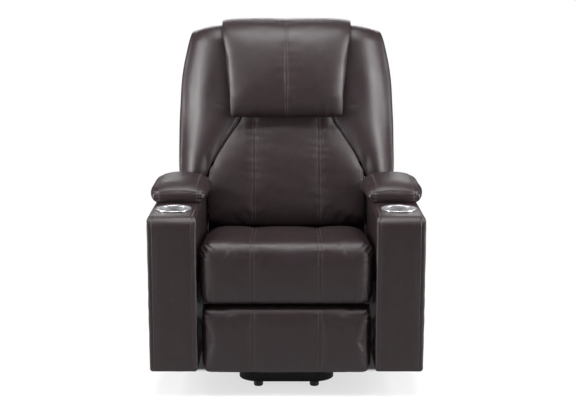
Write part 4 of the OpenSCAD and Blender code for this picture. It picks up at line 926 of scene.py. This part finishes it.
def wingRelief(points, across, along, normals):
    # waves, folds that run out from the headrest's lower corners, puckers at the seam, a line down the side
    s = wing
    rightHand = np.hstack([np.abs(points[:, :1]), points[:, 1:]])
    front = smoothStep((-normals[:, 1] + 0.05) / 0.4)
    lift = uneven(rightHand, s["waves"]) + sum(crease(rightHand, *fold) for fold in s["folds"])
    lift = front * (lift + puckers(across, along, across, s["pucker"]))
    side = smoothStep((np.abs(normals[:, 0]) - 0.6) / 0.3)
    slope = (points[:, 2] - backPlace["hingeZ"]) * math.tan(backPlace["lean"])
    behind = points[:, 1] - backPlace["hingeY"] - slope - 20
    return lift + side * (seamLine(behind, s["sideSeam"]) + uneven(points, s["sideWaves"]))


rings, across, along = wingRings(wing)
wingRight = loftSolid("wingRight", rings, across, along)
rearHold = np.clip((offBack(readPoints(wingRight.data) / mm)[0] + 20) / 30, 0, 1)
seamSide = bell(readLayer(wingRight.data, "across") / mm - wing["gap"], 6)
outerSide = 0.75 * smoothStep((np.abs(readPoints(wingRight.data, "normal")[:, 0]) - 0.6) / 0.3)
puffOut(wingRight, np.maximum.reduce([rearHold, seamSide, outerSide]), wing["pressure"], wing["cap"])


def mirrored(obj, name):
    # the same mesh with x turned round and every face reversed
    mesh = obj.data.copy()
    mesh.name = name
    points = readPoints(mesh)
    points[:, 0] *= -1
    mesh.flip_normals()
    writePoints(mesh, points)
    return addPiece(name, mesh)


wingLeft = mirrored(wingRight, "wingLeft")
for obj, node in ((wingRight, "wing_right"), (wingLeft, "wing_left")):
    refine(obj, wingRelief)
    dress(obj, "back", [node])
print("wings made")


head = {"top": 650.3, "plane": -199, "frontT": 64, "topT": 20, "topHalf": 213, "lowHalf": 181, "low": 326,
        "rows": 96, "channel": (1.0, 15, 4), "pressure": 3.0, "cap": 4,
        "waves": ((1.0, 41, 170), (0.25, 42, 55)),
        "pucker": {"beside": 6, "width": 26, "height": 0.3, "pace": 0.2, "sway": 1.2, "slow": 0.05,
                   "tilt": 0}}


def headRings(s):
    # sections |x/half|^4.5 + t^2 = 1, standing on a path over the back's top and down its front
    t, p, tt, ft, th, lh = s["top"], s["plane"], s["topT"], s["frontT"], s["topHalf"], s["lowHalf"]
    # each row: w and v of the inner face, the direction of the thickness, thickness, half width
    rows = [[73, t, 0, 1, 9, th - 16], [68, t, 0, 1, tt - 6, th - 7], [43, t, 0, 1, tt - 2, th - 1],
            [-30, t, 0, 1, tt, th], [-110, t, 0, 1, tt, th], [p + 50, t - 2, -0.3, 0.95, tt, th],
            [p + 24, t - 14, -0.6, 0.8, tt + 5, th], [p + 8, t - 36, -0.86, 0.5, tt + 16, th - 1],
            [p + 1, t - 64, -0.98, 0.2, ft - 12, th - 3], [p, 540, -1, 0, ft - 3, mixTo(th, lh, 0.3)],
            [p, 460, -1, 0, ft, mixTo(th, lh, 0.55)], [p, 400, -1, 0, ft - 4, mixTo(th, lh, 0.76)],
            [p, s["low"] + 48, -1, -0.08, ft - 14, lh + 6], [p, s["low"] + 24, -1, -0.18, ft - 28, lh + 4],
            [p, s["low"] + 9, -1, -0.3, ft - 42, lh + 1], [p, s["low"] + 3, -1, -0.4, 8, lh - 6]]
    w, v, wayW, wayV, thick, half = smoothRows(rows, s["rows"]).T[:, :, None]
    side = np.array([0.9, 0.93, 0.955, 0.972, 0.985, 0.994, 0.999])
    near = np.array([0, 2, 4.5, 7, 11, 17, 25]) / 195
    outer = np.concatenate([near, np.linspace(0.17, 0.87, 16), side])
    outer = np.concatenate([-outer[:0:-1], outer])
    inner = np.concatenate([-side[::-1], np.linspace(-0.86, 0.86, 23), side])[::-1]
    u = np.concatenate([outer, inner])
    full = (1 - np.abs(u) ** 4.5) ** 0.5 * np.repeat([1, -1], [len(outer), len(inner)])
    x = half * u
    t = thick * (1 + full) / 2
    run = np.concatenate([[0], np.cumsum(np.hypot(np.diff(w[:, 0]), np.diff(v[:, 0])))])
    return onBack(x, w + wayW * t, v + wayV * t), x, np.repeat(run[:, None], len(u), 1)


def headRelief(points, across, along, normals):
    # one channel down the middle with puckers, waves, and short folds above the lower edge
    s = head
    x, z = points[:, 0], points[:, 2]
    outer = smoothStep((-normals[:, 1] * 0.97 + np.maximum(normals[:, 2], 0) * 0.8 - 0.1) / 0.3)
    folds = 1.2 * bell(z - 790, 34) * np.sin(np.abs(x) * 0.16 + 1.1 * np.sin(x * 0.05))
    folds *= smoothStep((np.abs(x) - 60) / 80)
    lift = seamLine(across, s["channel"]) + puckers(np.abs(across), along, across, s["pucker"])
    return outer * (lift + folds + uneven(points, s["waves"]))


rings, across, along = headRings(head)
headrest = loftSolid("headPillow", rings, across, along)
w, v = offBack(readPoints(headrest.data) / mm)
innerHold = (w > head["plane"] - 8) * np.clip(1 - (v - head["top"] - 6) / 8, 0, 1)
puffOut(headrest, np.maximum(innerHold, seamHold(headrest, 0, 8) * 0.75), head["pressure"], head["cap"])
refine(headrest, headRelief)
dress(headrest, "back", ["headrest"])
print("headrest made")


# arms

arm = {"inner": 266.0, "outer": 410.0, "front": -423, "rear": 277, "bottom": 86, "top": 560, "round": 13,
       "footRound": 9, "roll": 7.0, "brow": 34, "line": 12.5, "cupX": 340, "cupY": -303, "cupHole": 45.5,
       "waves": ((0.5, 51, 90),), "sideWaves": ((1.1, 52, 230),), "fineWaves": ((0.25, 53, 38),)}
arm["middle"] = (arm["inner"] + arm["outer"]) / 2


def armOutline(s, d):
    # the rounded upright outline in x and z, every side d inside the full one
    i, o, b, t = s["inner"] + d, s["outer"] - d, s["bottom"] + d, s["top"] - d
    half = (o - i) / 2
    u = min(max(s["round"] - d * 0.6, 6), 0.7 * half)
    l = min(max(s["footRound"] - d * 0.3, 4), 0.7 * half)
    low, high = b + l + 8, t - u - 8
    pastU, pastL = u + min(6, 0.5 * (half - u)), l + min(5, 0.5 * (half - l))
    return np.vstack([arcPoints(o - l, b + l, l, -90, 0, 7), np.linspace((o, low), (o, high), 36),
                      arcPoints(o - u, t - u, u, 0, 90, 11), np.linspace((o - pastU, t), (i + pastU, t), 12),
                      arcPoints(i + u, t - u, u, 90, 180, 11), np.linspace((i, high), (i, low), 36),
                      arcPoints(i + l, b + l, l, 180, 270, 7),
                      np.linspace((i + pastL, b), (o - pastL, b), 12)])


def armRings(s):
    # the outline carried along y, its front and rear edges rolled over a small radius
    front, rear, roll = s["front"], s["rear"], s["roll"]
    insets = [69, 64, 57, 49, 41, 34, 28, 23, 20, 18, 16.5, 15.2, 14, 13, 12]
    bend = np.radians([90, 66, 44, 22, 0])
    body = np.concatenate([[13, 14.5, 16, 17.5, 19, 22, 27], np.linspace(34, rear - front - roll - 8, 56)])
    rings = [(front, float(d)) for d in insets]
    rings += [(front + roll * (1 - math.sin(a)), roll * (1 - math.cos(a))) for a in bend]
    rings += [(front + y, 0.0) for y in body]
    rings += [(rear - roll * (1 - math.sin(a)), roll * (1 - math.cos(a))) for a in bend[::-1]]
    out = np.array([np.insert(armOutline(s, d), 1, y, axis=1) for y, d in rings])
    run = np.linalg.norm(np.diff(out[len(insets) + len(bend)], axis=0), axis=1)
    along = np.repeat(np.concatenate([[0], np.cumsum(run)])[None], len(out), 0)
    # the top front edge goes over a wider curve: points past its radius are drawn back to it
    r = s["brow"]
    dy, dz = front + r - out[..., 1], out[..., 2] - s["top"] + r
    pull = np.where((dy > 0) & (dz > 0), np.minimum(r / np.maximum(np.hypot(dy, dz), 1e-6), 1), 1)
    out[..., 1] = front + r - dy * pull
    out[..., 2] = s["top"] - r + dz * pull
    return out, out[..., 0] - s["middle"], along


def armRelief(points, across, along, normals):
    # a full front strip between two needle lines that run over the edge, and waves and one line on the sides
    s = arm
    y, z = points[:, 1], points[:, 2]
    ahead, up = smoothStep((-normals[:, 1] - 0.55) / 0.35), smoothStep((normals[:, 2] - 0.3) / 0.4)
    edge = (s["outer"] - s["inner"]) / 2 - np.abs(across)
    strip = smoothStep((z - s["bottom"]) / 40) * smoothStep((s["top"] - z - 20) / 60)
    lift = ahead * (1.8 * strip * smoothStep((edge - s["line"]) / 22) + uneven(points, s["waves"]))
    lift -= 1.3 * bell(edge - s["line"], 2.0) * smoothStep((-y - 120) / 20) * np.maximum(ahead, up)
    side = smoothStep((np.abs(normals[:, 0]) - 0.7) / 0.25)
    fromFront = y - s["front"]
    lift += side * (uneven(points, s["sideWaves"]) - 1.2 * bell(fromFront - 13, 2.0)
                    + waver(z, 0.09, 1.5, 0.021) * bell(fromFront - 34, 26))
    return lift * smoothStep((z - s["bottom"]) / 6) + uneven(points, s["fineWaves"])


def makeArm(side, sign):
    rings, across, along = armRings(arm)
    obj = loftSolid("arm" + side, rings, across, along)
    if sign < 0:
        points = readPoints(obj.data)
        points[:, 0] *= -1
        obj.data.flip_normals()
        writePoints(obj.data, points)
    refine(obj, armRelief)
    # the hole that takes the cup well
    turn = np.linspace(0, 2 * np.pi, 96, endpoint=False)
    x, y = sign * arm["cupX"] + arm["cupHole"] * np.cos(turn), arm["cupY"] + arm["cupHole"] * np.sin(turn)
    ends = (arm["top"] - 76.0, arm["top"] + 12.0)
    cutter = loftSolid("cutter", [np.stack([x, y, np.full(96, z)], axis=1) for z in ends], capSteps=())
    hole = obj.modifiers.new("hole", "BOOLEAN")
    hole.operation = "DIFFERENCE"
    hole.solver = "EXACT"
    hole.object = cutter
    mesh = bpy.data.meshes.new_from_object(obj.evaluated_get(bpy.context.evaluated_depsgraph_get()))
    obj.modifiers.remove(hole)
    obj.data = mesh
    mesh.name = obj.name
    bpy.data.objects.remove(cutter)
    mesh.shade_smooth()
    return dress(obj, "seat_body", ["arm_cover_" + side.lower()])


armRight = makeArm("Right", 1)
armLeft = makeArm("Left", -1)
print("arms made")

pad = {"inner": 245.5, "outer": 426.5, "front": -207, "rear": 4, "base": 560.4, "height": 66, "waist": 25,
       "rings": 60, "ringPoints": 100, "dome": 6, "seam": 66, "channel": (0.7, 6, 3.4), "pressure": 4.0,
       "cap": 3, "waves": ((0.7, 61, 90), (0.2, 62, 34)),
       "pinches": ((2.2, 32, 2.8), (1.2, 22, 2.4), (1.6, 12, 2.6))}
pad["middle"] = (pad["inner"] + pad["outer"]) / 2


def padRings(s):
    # flat-based sections x = half cos^0.8, z = height sin^0.86, lower and narrower at the front and the rear
    f = np.concatenate([[0, 0.004, 0.014, 0.03], np.linspace(0.05, 0.96, s["rings"]), [0.98, 0.992, 1]])
    rise = np.sin(np.pi / 2 * np.minimum(f / 0.34, 1))
    fall = np.sin(np.pi / 2 * np.minimum((1 - f) / 0.10, 1))
    k = mixTo(0.85, 1, rise ** 0.6) * mixTo(0.94, 1, fall ** 0.6)
    lift = mixTo(0.56, 1, rise ** 0.62) * mixTo(0.84, 1, fall ** 0.7)
    mid, base, flatPoints = s["middle"], s["base"], 22
    t = np.radians(np.linspace(-38, 218, s["ringPoints"] - flatPoints))
    half = (k * (s["outer"] - s["inner"]) / 2)[:, None]
    over = np.abs(np.sin(t)) ** 0.86 * (s["height"] - s["waist"])
    up = np.where(np.sin(t) > 0, over, 1.46 * np.sin(t) * s["waist"])
    z = np.maximum(base + lift[:, None] * (s["waist"] + up), base + 1)
    x = np.hstack([mid + half * signedPower(np.cos(t), 0.8), mid + half * np.linspace(-0.8, 0.8, flatPoints)])
    z = np.hstack([z, np.full((len(f), flatPoints), base)])
    y = np.repeat(mixTo(s["front"], s["rear"], f)[:, None], x.shape[1], 1)
    # the shallow front: the first section drawn in towards its middle, forward with the square of the way in
    part = np.array([0.3, 0.45, 0.6, 0.72, 0.82, 0.9, 0.96])[:, None]
    high = base + 0.3 * s["height"]
    x = np.vstack([mid + (x[:1] - mid) * part, x])
    z = np.vstack([high + (z[:1] - high) * part, z])
    y = np.vstack([s["front"] - s["dome"] * (1 - part ** 2) + 0 * y[:1], y])
    return np.stack([x, y, z], axis=-1), x - mid, y


def padRelief(points, across, along, normals):
    # channels along the seams, small level pinches beside them on the front, and waves
    s = pad
    up = points[:, 2] - s["base"]
    facing = smoothStep((normals[:, 2] + 0.3) / 0.5) + (normals[:, 1] < -0.3)
    shown = smoothStep((up - 3) / 8) * np.clip(facing, 0, 1)
    off = np.abs(across) - s["seam"]
    pinch = sum(depth * bell(up - level, width) for depth, level, width in s["pinches"])
    pinch *= bell(points[:, 1] - s["front"], 20) * bell(off, 13)
    return shown * (seamLine(off, s["channel"]) + uneven(points, s["waves"])) - pinch


rings, across, along = padRings(pad)
padRight = loftSolid("armPadRight", rings, across, along, capSteps=(0.66, 0.33))
points = readPoints(padRight.data) / mm
baseHold = np.clip(1 - (points[:, 2] - pad["base"] - 4) / 8, 0, 1)
frontHold = smoothStep((pad["front"] + 50 - points[:, 1]) / 50)
puffOut(padRight, np.maximum(baseHold, frontHold), pad["pressure"], pad["cap"])
padLeft = mirrored(padRight, "armPadLeft")
for obj, node in ((padRight, "arm_pad_right"), (padLeft, "arm_pad_left")):
    refine(obj, padRelief)
    dress(obj, "seat_body", [node])
print("arm pads made")

cup = {"bore": 43.5, "wall": 1.5, "depth": 72, "flange": 54, "rim": 3.2, "turns": 128}


def makeCup(side, sign):
    # a profile of well, rolled inner lip, shallow dished flange and rolled outer rim, turned about its axis
    r, w, fl, floor, rim = cup["bore"], cup["wall"], cup["flange"], -cup["depth"], cup["rim"] / 2
    profile = np.vstack([[[0.5, floor], [12, floor], [26, floor + 0.2], [34, floor + 0.8]],
                         arcPoints(r - 6, floor + 6.6, 6, -80, -4, 7), [[r, -40], [r, -12], [r, -3]],
                         arcPoints(r + 2.2, 0.6, 2.2, 180, 70, 8), [[r + 4.6, 2.2], [fl - 5.2, 1.7]],
                         arcPoints(fl - rim - 0.4, rim + 0.2, rim + 0.2, 130, -80, 12),
                         [[r + 3, 0.2], [r + w, -3], [r + w, -30], [r + w, floor + 4], [r - 4, floor - w],
                          [20, floor - w], [0.5, floor - w]]])
    out, up = profile[:, :1], profile[:, 1:]
    turn = np.linspace(0, 2 * np.pi, cup["turns"], endpoint=False)
    rings = np.stack([sign * arm["cupX"] + out * np.cos(turn), arm["cupY"] + out * np.sin(turn),
                      arm["top"] + 0.3 + up + 0 * turn], axis=-1)
    obj = loftSolid("cupWell" + side, rings, capSteps=())
    sub = obj.modifiers.new("smooth", "SUBSURF")
    sub.levels = sub.render_levels = 1
    dress(obj, "seat_body", ["cup_holder_" + side.lower()], polishedSteel)


makeCup("Right", 1)
makeCup("Left", -1)
print("cup wells made")


# rear cover, apron and back straps

rear = {"front": 77.4, "thick": 16.8, "half": 327, "lowHalf": 245.5, "low": -18, "step": 178, "top": 638,
        "round": 60, "columns": 70, "seam": 168, "channel": (1.6, 8, 3.6), "topSeam": 70,
        "topChannel": (1.4, 7, 3.6), "waves": ((1.6, 71, 260), (0.5, 72, 80))}


def rearCoverRings(s):
    # flat rounded sections up the back, wide above the arms and narrow between them
    low, top, step, r = s["low"], s["top"], s["step"], s["round"]
    vs = np.concatenate([[low, low + 3], np.linspace(0, step - 2, 22), [step, step + 2],
                         np.linspace(step + 8, top - r, 40),
                         top - r * (1 - np.sin(np.radians(np.linspace(8, 88, 12))))])
    u = np.linspace(-1, 1, s["columns"])
    rings, across = [], []
    for v in vs:
        half = s["lowHalf"] if v < step + 1 else s["half"]
        half -= r - math.sqrt(max(r ** 2 - max(0, v - top + r) ** 2, 0))
        thick = s["thick"] - 6 * np.abs(u) ** 24 - 3 * (v < low + 1) - 3 * (v > top - 2)
        rings.append(slabRing(u * half, s["front"], s["front"] + thick[::-1], v))
        across.append(np.concatenate([u, u[::-1]]) * half)
    return np.array(rings), np.array(across), np.repeat(vs[:, None], 2 * s["columns"], 1)


def rearRelief(points, across, along, normals):
    # two upright channels and one level one near the top, and waves
    s = rear
    shown = smoothStep((normals[:, 1] - 0.4) / 0.3)
    fromTop = np.minimum(s["top"] - along, 400)
    seams = seamLine(np.abs(across) - s["seam"], s["channel"])
    seams += seamLine(fromTop - s["topSeam"], s["topChannel"])
    return shown * (0.9 * seams - 1.5 + uneven(points, s["waves"]))


rings, across, along = rearCoverRings(rear)
rearCover = loftSolid("rearCover", rings, across, along)
refine(rearCover, rearRelief)
dress(rearCover, "back", ["rear_cover"])

apron = {"half": 276, "y": 289.2, "thick": 5.6, "low": 92, "top": 366, "columns": 80, "hem": 352,
         "sockets": {"x": 150, "z": 150, "round": 18}, "waves": ((0.35, 81, 120),)}


def apronRings(s):
    # an upright sheet from the low edge to the top one, thinned to half at both
    low, top = s["low"], s["top"]
    z = np.concatenate([[low, low + 1.5], np.linspace(low + 5, top - 5, 40), [top - 1.5, top]])[:, None]
    u = np.linspace(-1, 1, s["columns"])
    ends = np.minimum(np.minimum(z - low, top - z) / 3, 1)
    thick = s["thick"] * (0.5 + 0.5 * ends) * np.ones(len(u))
    x = np.concatenate([u, u[::-1]])[None] * s["half"] + 0 * z
    y = s["y"] + np.hstack([0 * thick, thick])
    z = np.repeat(z, x.shape[1], 1)
    return np.stack([x, y, z], axis=-1), x, z


def apronRelief(points, across, along, normals):
    # waves and one line below the top, held flat around the two sockets
    s = apron
    x, z, hold = np.abs(points[:, 0]), points[:, 2], s["sockets"]
    shown = smoothStep((normals[:, 1] - 0.4) / 0.3)
    shown *= smoothStep((np.hypot(x - hold["x"], z - hold["z"]) - hold["round"]) / 12)
    return shown * (uneven(points, s["waves"]) - 0.5 * bell(z - s["hem"], 2))


rings, across, along = apronRings(apron)
rearApron = loftSolid("rearApron", rings, across, along)
refine(rearApron, apronRelief)
dress(rearApron, "seat_body", ["rear_apron"])

strap = {"lows": (110, 210, 430, 530), "width": 50, "half": 250.5, "front": 12.2, "rear": 14.7}


def joinPieces(name, pieces):
    # one mesh from several, their faces numbered on from piece to piece
    verts, faces, base = [], [], 0
    for piece in pieces:
        mesh = piece.data
        corners, starts = np.empty(len(mesh.loops), np.int32), np.empty(len(mesh.polygons), np.int32)
        mesh.loops.foreach_get("vertex_index", corners)
        mesh.polygons.foreach_get("loop_start", starts)
        faces += [face.tolist() for face in np.split(corners + base, starts[1:])]
        verts.append(readPoints(mesh))
        base += len(verts[-1])
        bpy.data.objects.remove(piece)
    return addPiece(name, makeMesh(name, np.vstack(verts), faces))


u = np.linspace(-strap["half"], strap["half"], 40)
straps = []
for low in strap["lows"]:
    levels = np.linspace(low + 0.5, low + strap["width"] - 0.5, 10)
    rings = [slabRing(u, strap["front"], strap["rear"], v) for v in levels]
    straps.append(loftSolid("strap", rings, capSteps=()))
dress(joinPieces("backStraps", straps), "back", ["back_webbing"], webbing)
print("rear made")


# pipings between the wings and the centre cushion, and the sheet that closes the back to the seat, a dark
# leather sheet standing in for the shade in the gap behind the seat

def tubeAlong(name, path, radius, sides=10):
    # a round tube along a smooth path: circles square to it, closed at both ends
    ahead = np.gradient(path, axis=0)
    ahead /= np.linalg.norm(ahead, axis=1, keepdims=True)
    side = np.cross(ahead, [0.0, 1.0, 0.0])
    side /= np.linalg.norm(side, axis=1, keepdims=True)
    up = np.cross(side, ahead)
    turn = (np.arange(sides) * 2 * np.pi / sides)[:, None]
    rings = path[:, None] + radius * (side[:, None] * np.cos(turn) + up[:, None] * np.sin(turn))
    return loftSolid(name, rings, capSteps=(0.6,))


piping = {"radius": 3.2, "plane": -169.5, "low": 182, "high": 560}
for name, sign in (("Left", -1), ("Right", 1)):
    v = np.linspace(piping["low"], piping["high"], 150)
    path = onBack(sign * seamHalf(v), piping["plane"], v)
    dress(tubeAlong("wingPiping" + name, path, piping["radius"]), "back", [])

# a dark leather sheet hung below the back that stands in for shade, so the gap above the seat's rear reads
# dark
shadeSheet = {"w": -84, "thick": 7, "low": -48, "high": 16, "half": 262.5}


def shadeSheetRings(s):
    # a flat panel on the back's slope, thinner at its low edge
    low = s["low"]
    levels = np.concatenate([[low, low + 1.5, low + 4], np.linspace(low + 9, s["high"], 8)])
    thick = s["thick"] * np.minimum(0.45 + (levels - low) / 8, 1)
    u = np.linspace(-s["half"], s["half"], 60)
    return [slabRing(u, s["w"] - t / 2, s["w"] + t / 2, v) for v, t in zip(levels, thick)]


# dark sheet standing in for the shade between the back and the seat's rear
dress(loftSolid("backShadeSheet", shadeSheetRings(shadeSheet)), "back", [])


# needle threads along the sewn seams

def needleLines(s):
    # the lines at both sides of both seams
    return [side * (s["seam"] + d) for side in (-1, 1) for d in (-s["channel"][2], s["channel"][2])]


def seamThreads(obj, places, keep):
    return [stitchRow(*columnPath(obj, "across", place, keep)) for place in places]


def surfaceThreads(obj, paths):
    # rows along rough paths, each point moved to the nearest one on the surface
    bpy.context.view_layer.update()
    graph = bpy.context.evaluated_depsgraph_get()
    rows = []
    for path in paths:
        found = [obj.closest_point_on_mesh(Vector(p), depsgraph=graph) for p in path * mm]
        rows.append(stitchRow([f[1] for f in found], [f[2] for f in found]))
    return rows


def overFront(x, front, low, top, rearEnd, reach):
    # a rough path up a front at this x, over its top edge and back to rearEnd
    t = np.radians(np.linspace(0, 90, 40))
    up = np.linspace(low, top - reach, 160)
    level = np.linspace(front + reach, rearEnd, 100)
    y = np.concatenate([np.full(160, front), front + reach * (1 - np.cos(t)), level])
    z = np.concatenate([up, top - reach * (1 - np.sin(t)), np.full(100, top)])
    return np.stack([np.full(len(y), float(x)), y, z], axis=1)


def seatShown(p, n):
    return ((n[:, 1] < -0.15) | (n[:, 2] > 0.25)) & (p[:, 1] < 20)


def footShown(p, n):
    return n[:, 1] < -0.1


def headShown(p, n):
    return (n[:, 1] < -0.2) | (n[:, 2] > 0.5)


def backShown(p, n):
    return (n[:, 1] < -0.3) & (p[:, 2] > 462) & (p[:, 2] < 830)


addThreads("seatThreads", seamThreads(seatCushion, needleLines(seat), seatShown), "seat_body")
addThreads("footThreads", seamThreads(footCushion, needleLines(foot), footShown), "footrest")
addThreads("headThreads", seamThreads(headrest, [-head["channel"][2], head["channel"][2]], headShown), "back")
addThreads("backThreads", seamThreads(backCushion, needleLines(back), backShown), "back")
armLine = (arm["outer"] - arm["inner"]) / 2 - arm["line"]
for name, sign, armPiece, padPiece in (("Left", -1, armLeft, padLeft), ("Right", 1, armRight, padRight)):
    paths = [overFront(sign * (arm["middle"] + d), arm["front"] - 1, arm["bottom"] + 6, arm["top"] + 1, -222,
                       arm["brow"]) for d in (-armLine, armLine)]
    addThreads("armThreads" + name, surfaceThreads(armPiece, paths), "seat_body")
    paths = [overFront(sign * (pad["middle"] + d), pad["front"] - 12, pad["base"] + 5,
                       pad["base"] + pad["height"] + 8, pad["rear"] - 14, 44) for d in needleLines(pad)]
    addThreads("padThreads" + name, surfaceThreads(padPiece, paths), "seat_body")
print("threads made")


# stage, light and camera

stageLook = {"floor": (0.9, 0.9, 0.9), "half": 12.0, "glow": 0.66, "gloss": 0.22, "bounce": 0.35,
             "seen": 0.6, "room": 0.10, "ambient": 0.05, "deepHalfX": 0.36, "deepHalfY": 0.19, "deepY": 0.02,
             "deepShade": 0.1}


def makeStage():
    # white where only the camera looks; close to the chair partly a plain matt floor that takes the shadow
    look, half = stageLook, stageLook["half"]
    corners = np.array([[-half, -half, 0], [half, -half, 0], [half, half, 0], [-half, half, 0]])
    floor = addPiece("floor", makeMesh("floor", corners, [[0, 1, 2, 3]]))
    material, tree, shader = newMaterial("paleFloor", look["floor"], Roughness=0.8)
    link = tree.links.new
    path = addNode(tree, "ShaderNodeLightPath")
    reach = texture(tree, "ShaderNodeVectorMath", operation="LENGTH")
    far = rampNode(tree, times(tree, reach.outputs["Value"], 0.3), [(0.16, 0.0), (0.5, 1.0)])
    # deep shade right under the chair, so that the slits beside the footrest stay dark
    parts = texture(tree, "ShaderNodeSeparateXYZ")
    fromMiddle = mathNode(tree, "SUBTRACT", parts.outputs["Y"], look["deepY"])
    aside = mathNode(tree, "DIVIDE", mathNode(tree, "ABSOLUTE", parts.outputs["X"]), look["deepHalfX"])
    deep = mathNode(tree, "DIVIDE", mathNode(tree, "ABSOLUTE", fromMiddle), look["deepHalfY"])
    clear = rampNode(tree, mathNode(tree, "MAXIMUM", aside, deep), [(0.86, 0.0), (1.0, 1.0)])
    shade = plus(tree, times(tree, path.outputs["Is Camera Ray"], look["seen"]), look["bounce"])
    shade = times(tree, shade, plus(tree, times(tree, clear, 1 - look["deepShade"]), look["deepShade"]))
    link(colourMix(tree, shade, (0.0, 0.0, 0.0), (1.0, 1.0, 1.0)), shader.inputs["Base Color"])
    glow = addNode(tree, "ShaderNodeEmission", {"Color": (1, 1, 1, 1), "Strength": 1.0})
    blend = addNode(tree, "ShaderNodeMixShader")
    share = times(tree, plus(tree, times(tree, far, 1 - look["glow"]), look["glow"]), clear)
    seen = mathNode(tree, "MAXIMUM", path.outputs["Is Camera Ray"],
                    times(tree, path.outputs["Is Glossy Ray"], look["gloss"]))
    link(times(tree, share, seen), blend.inputs[0])
    link(shader.outputs[0], blend.inputs[1])
    link(glow.outputs[0], blend.inputs[2])
    link(blend.outputs[0], tree.nodes["Material Output"].inputs[0])
    floor.data.materials.append(material)


def makeWorld():
    # white to the camera and through glass, a dimmer room for gloss, dimmer still as light
    world = bpy.data.worlds.new("plainRoom")
    world.use_nodes = True
    tree = world.node_tree
    sky = setInputs(tree.nodes["Background"], {"Color": (1, 1, 1, 1)})
    path = addNode(tree, "ShaderNodeLightPath")
    seen = mathNode(tree, "MAXIMUM", path.outputs["Is Camera Ray"], path.outputs["Is Transmission Ray"])
    light = plus(tree, times(tree, path.outputs["Is Glossy Ray"], stageLook["room"]), stageLook["ambient"])
    tree.links.new(mathNode(tree, "MAXIMUM", seen, light), sky.inputs["Strength"])
    scene.world = world


def addLamp(name, look):
    lamp = bpy.data.lights.new(name, "AREA")
    lamp.shape = "RECTANGLE"
    lamp.size, lamp.size_y = look["size"]
    lamp.energy = look["power"]
    obj = bpy.data.objects.new(name, lamp)
    obj.location = look["place"]
    obj.visible_glossy = name != "fill"  # the fill only lifts the shade, without a highlight of its own
    obj.rotation_euler = (Vector(look["aim"]) - Vector(look["place"])).to_track_quat("-Z", "Y").to_euler()
    scene.collection.objects.link(obj)


lamps = {
    "sideLeft": {"place": (-2.8, -0.9, 1.4), "aim": (0, 0, 0.7), "size": (0.7, 2.4), "power": 146},
    "sideRight": {"place": (2.8, -0.9, 1.4), "aim": (0, 0, 0.7), "size": (0.7, 2.4), "power": 140},
    "top": {"place": (0, -0.8, 3.2), "aim": (0, -0.2, 0.5), "size": (2.0, 1.6), "power": 88},
    "fill": {"place": (0, -3.6, 1.6), "aim": (0, 0, 0.4), "size": (2.4, 1.4), "power": 12},
    "rear": {"place": (0, 2.9, 2.2), "aim": (0, 0, 0.7), "size": (2.6, 1.2), "power": 40}}
cameraLook = {"place": (0.0050, -3.738, 1.246), "pitch": 11.035, "lens": 72.5}

makeStage()
makeWorld()
for name, look in lamps.items():
    addLamp(name, look)
cameraData = bpy.data.cameras.new("camera")
cameraData.lens = cameraLook["lens"]
cameraData.sensor_width = 36
camera = bpy.data.objects.new("camera", cameraData)
camera.location = cameraLook["place"]
camera.rotation_euler = (math.radians(90 - cameraLook["pitch"]), 0, 0)
scene.collection.objects.link(camera)
scene.camera = camera
scene.view_settings.view_transform = "Standard"
print("stage made")
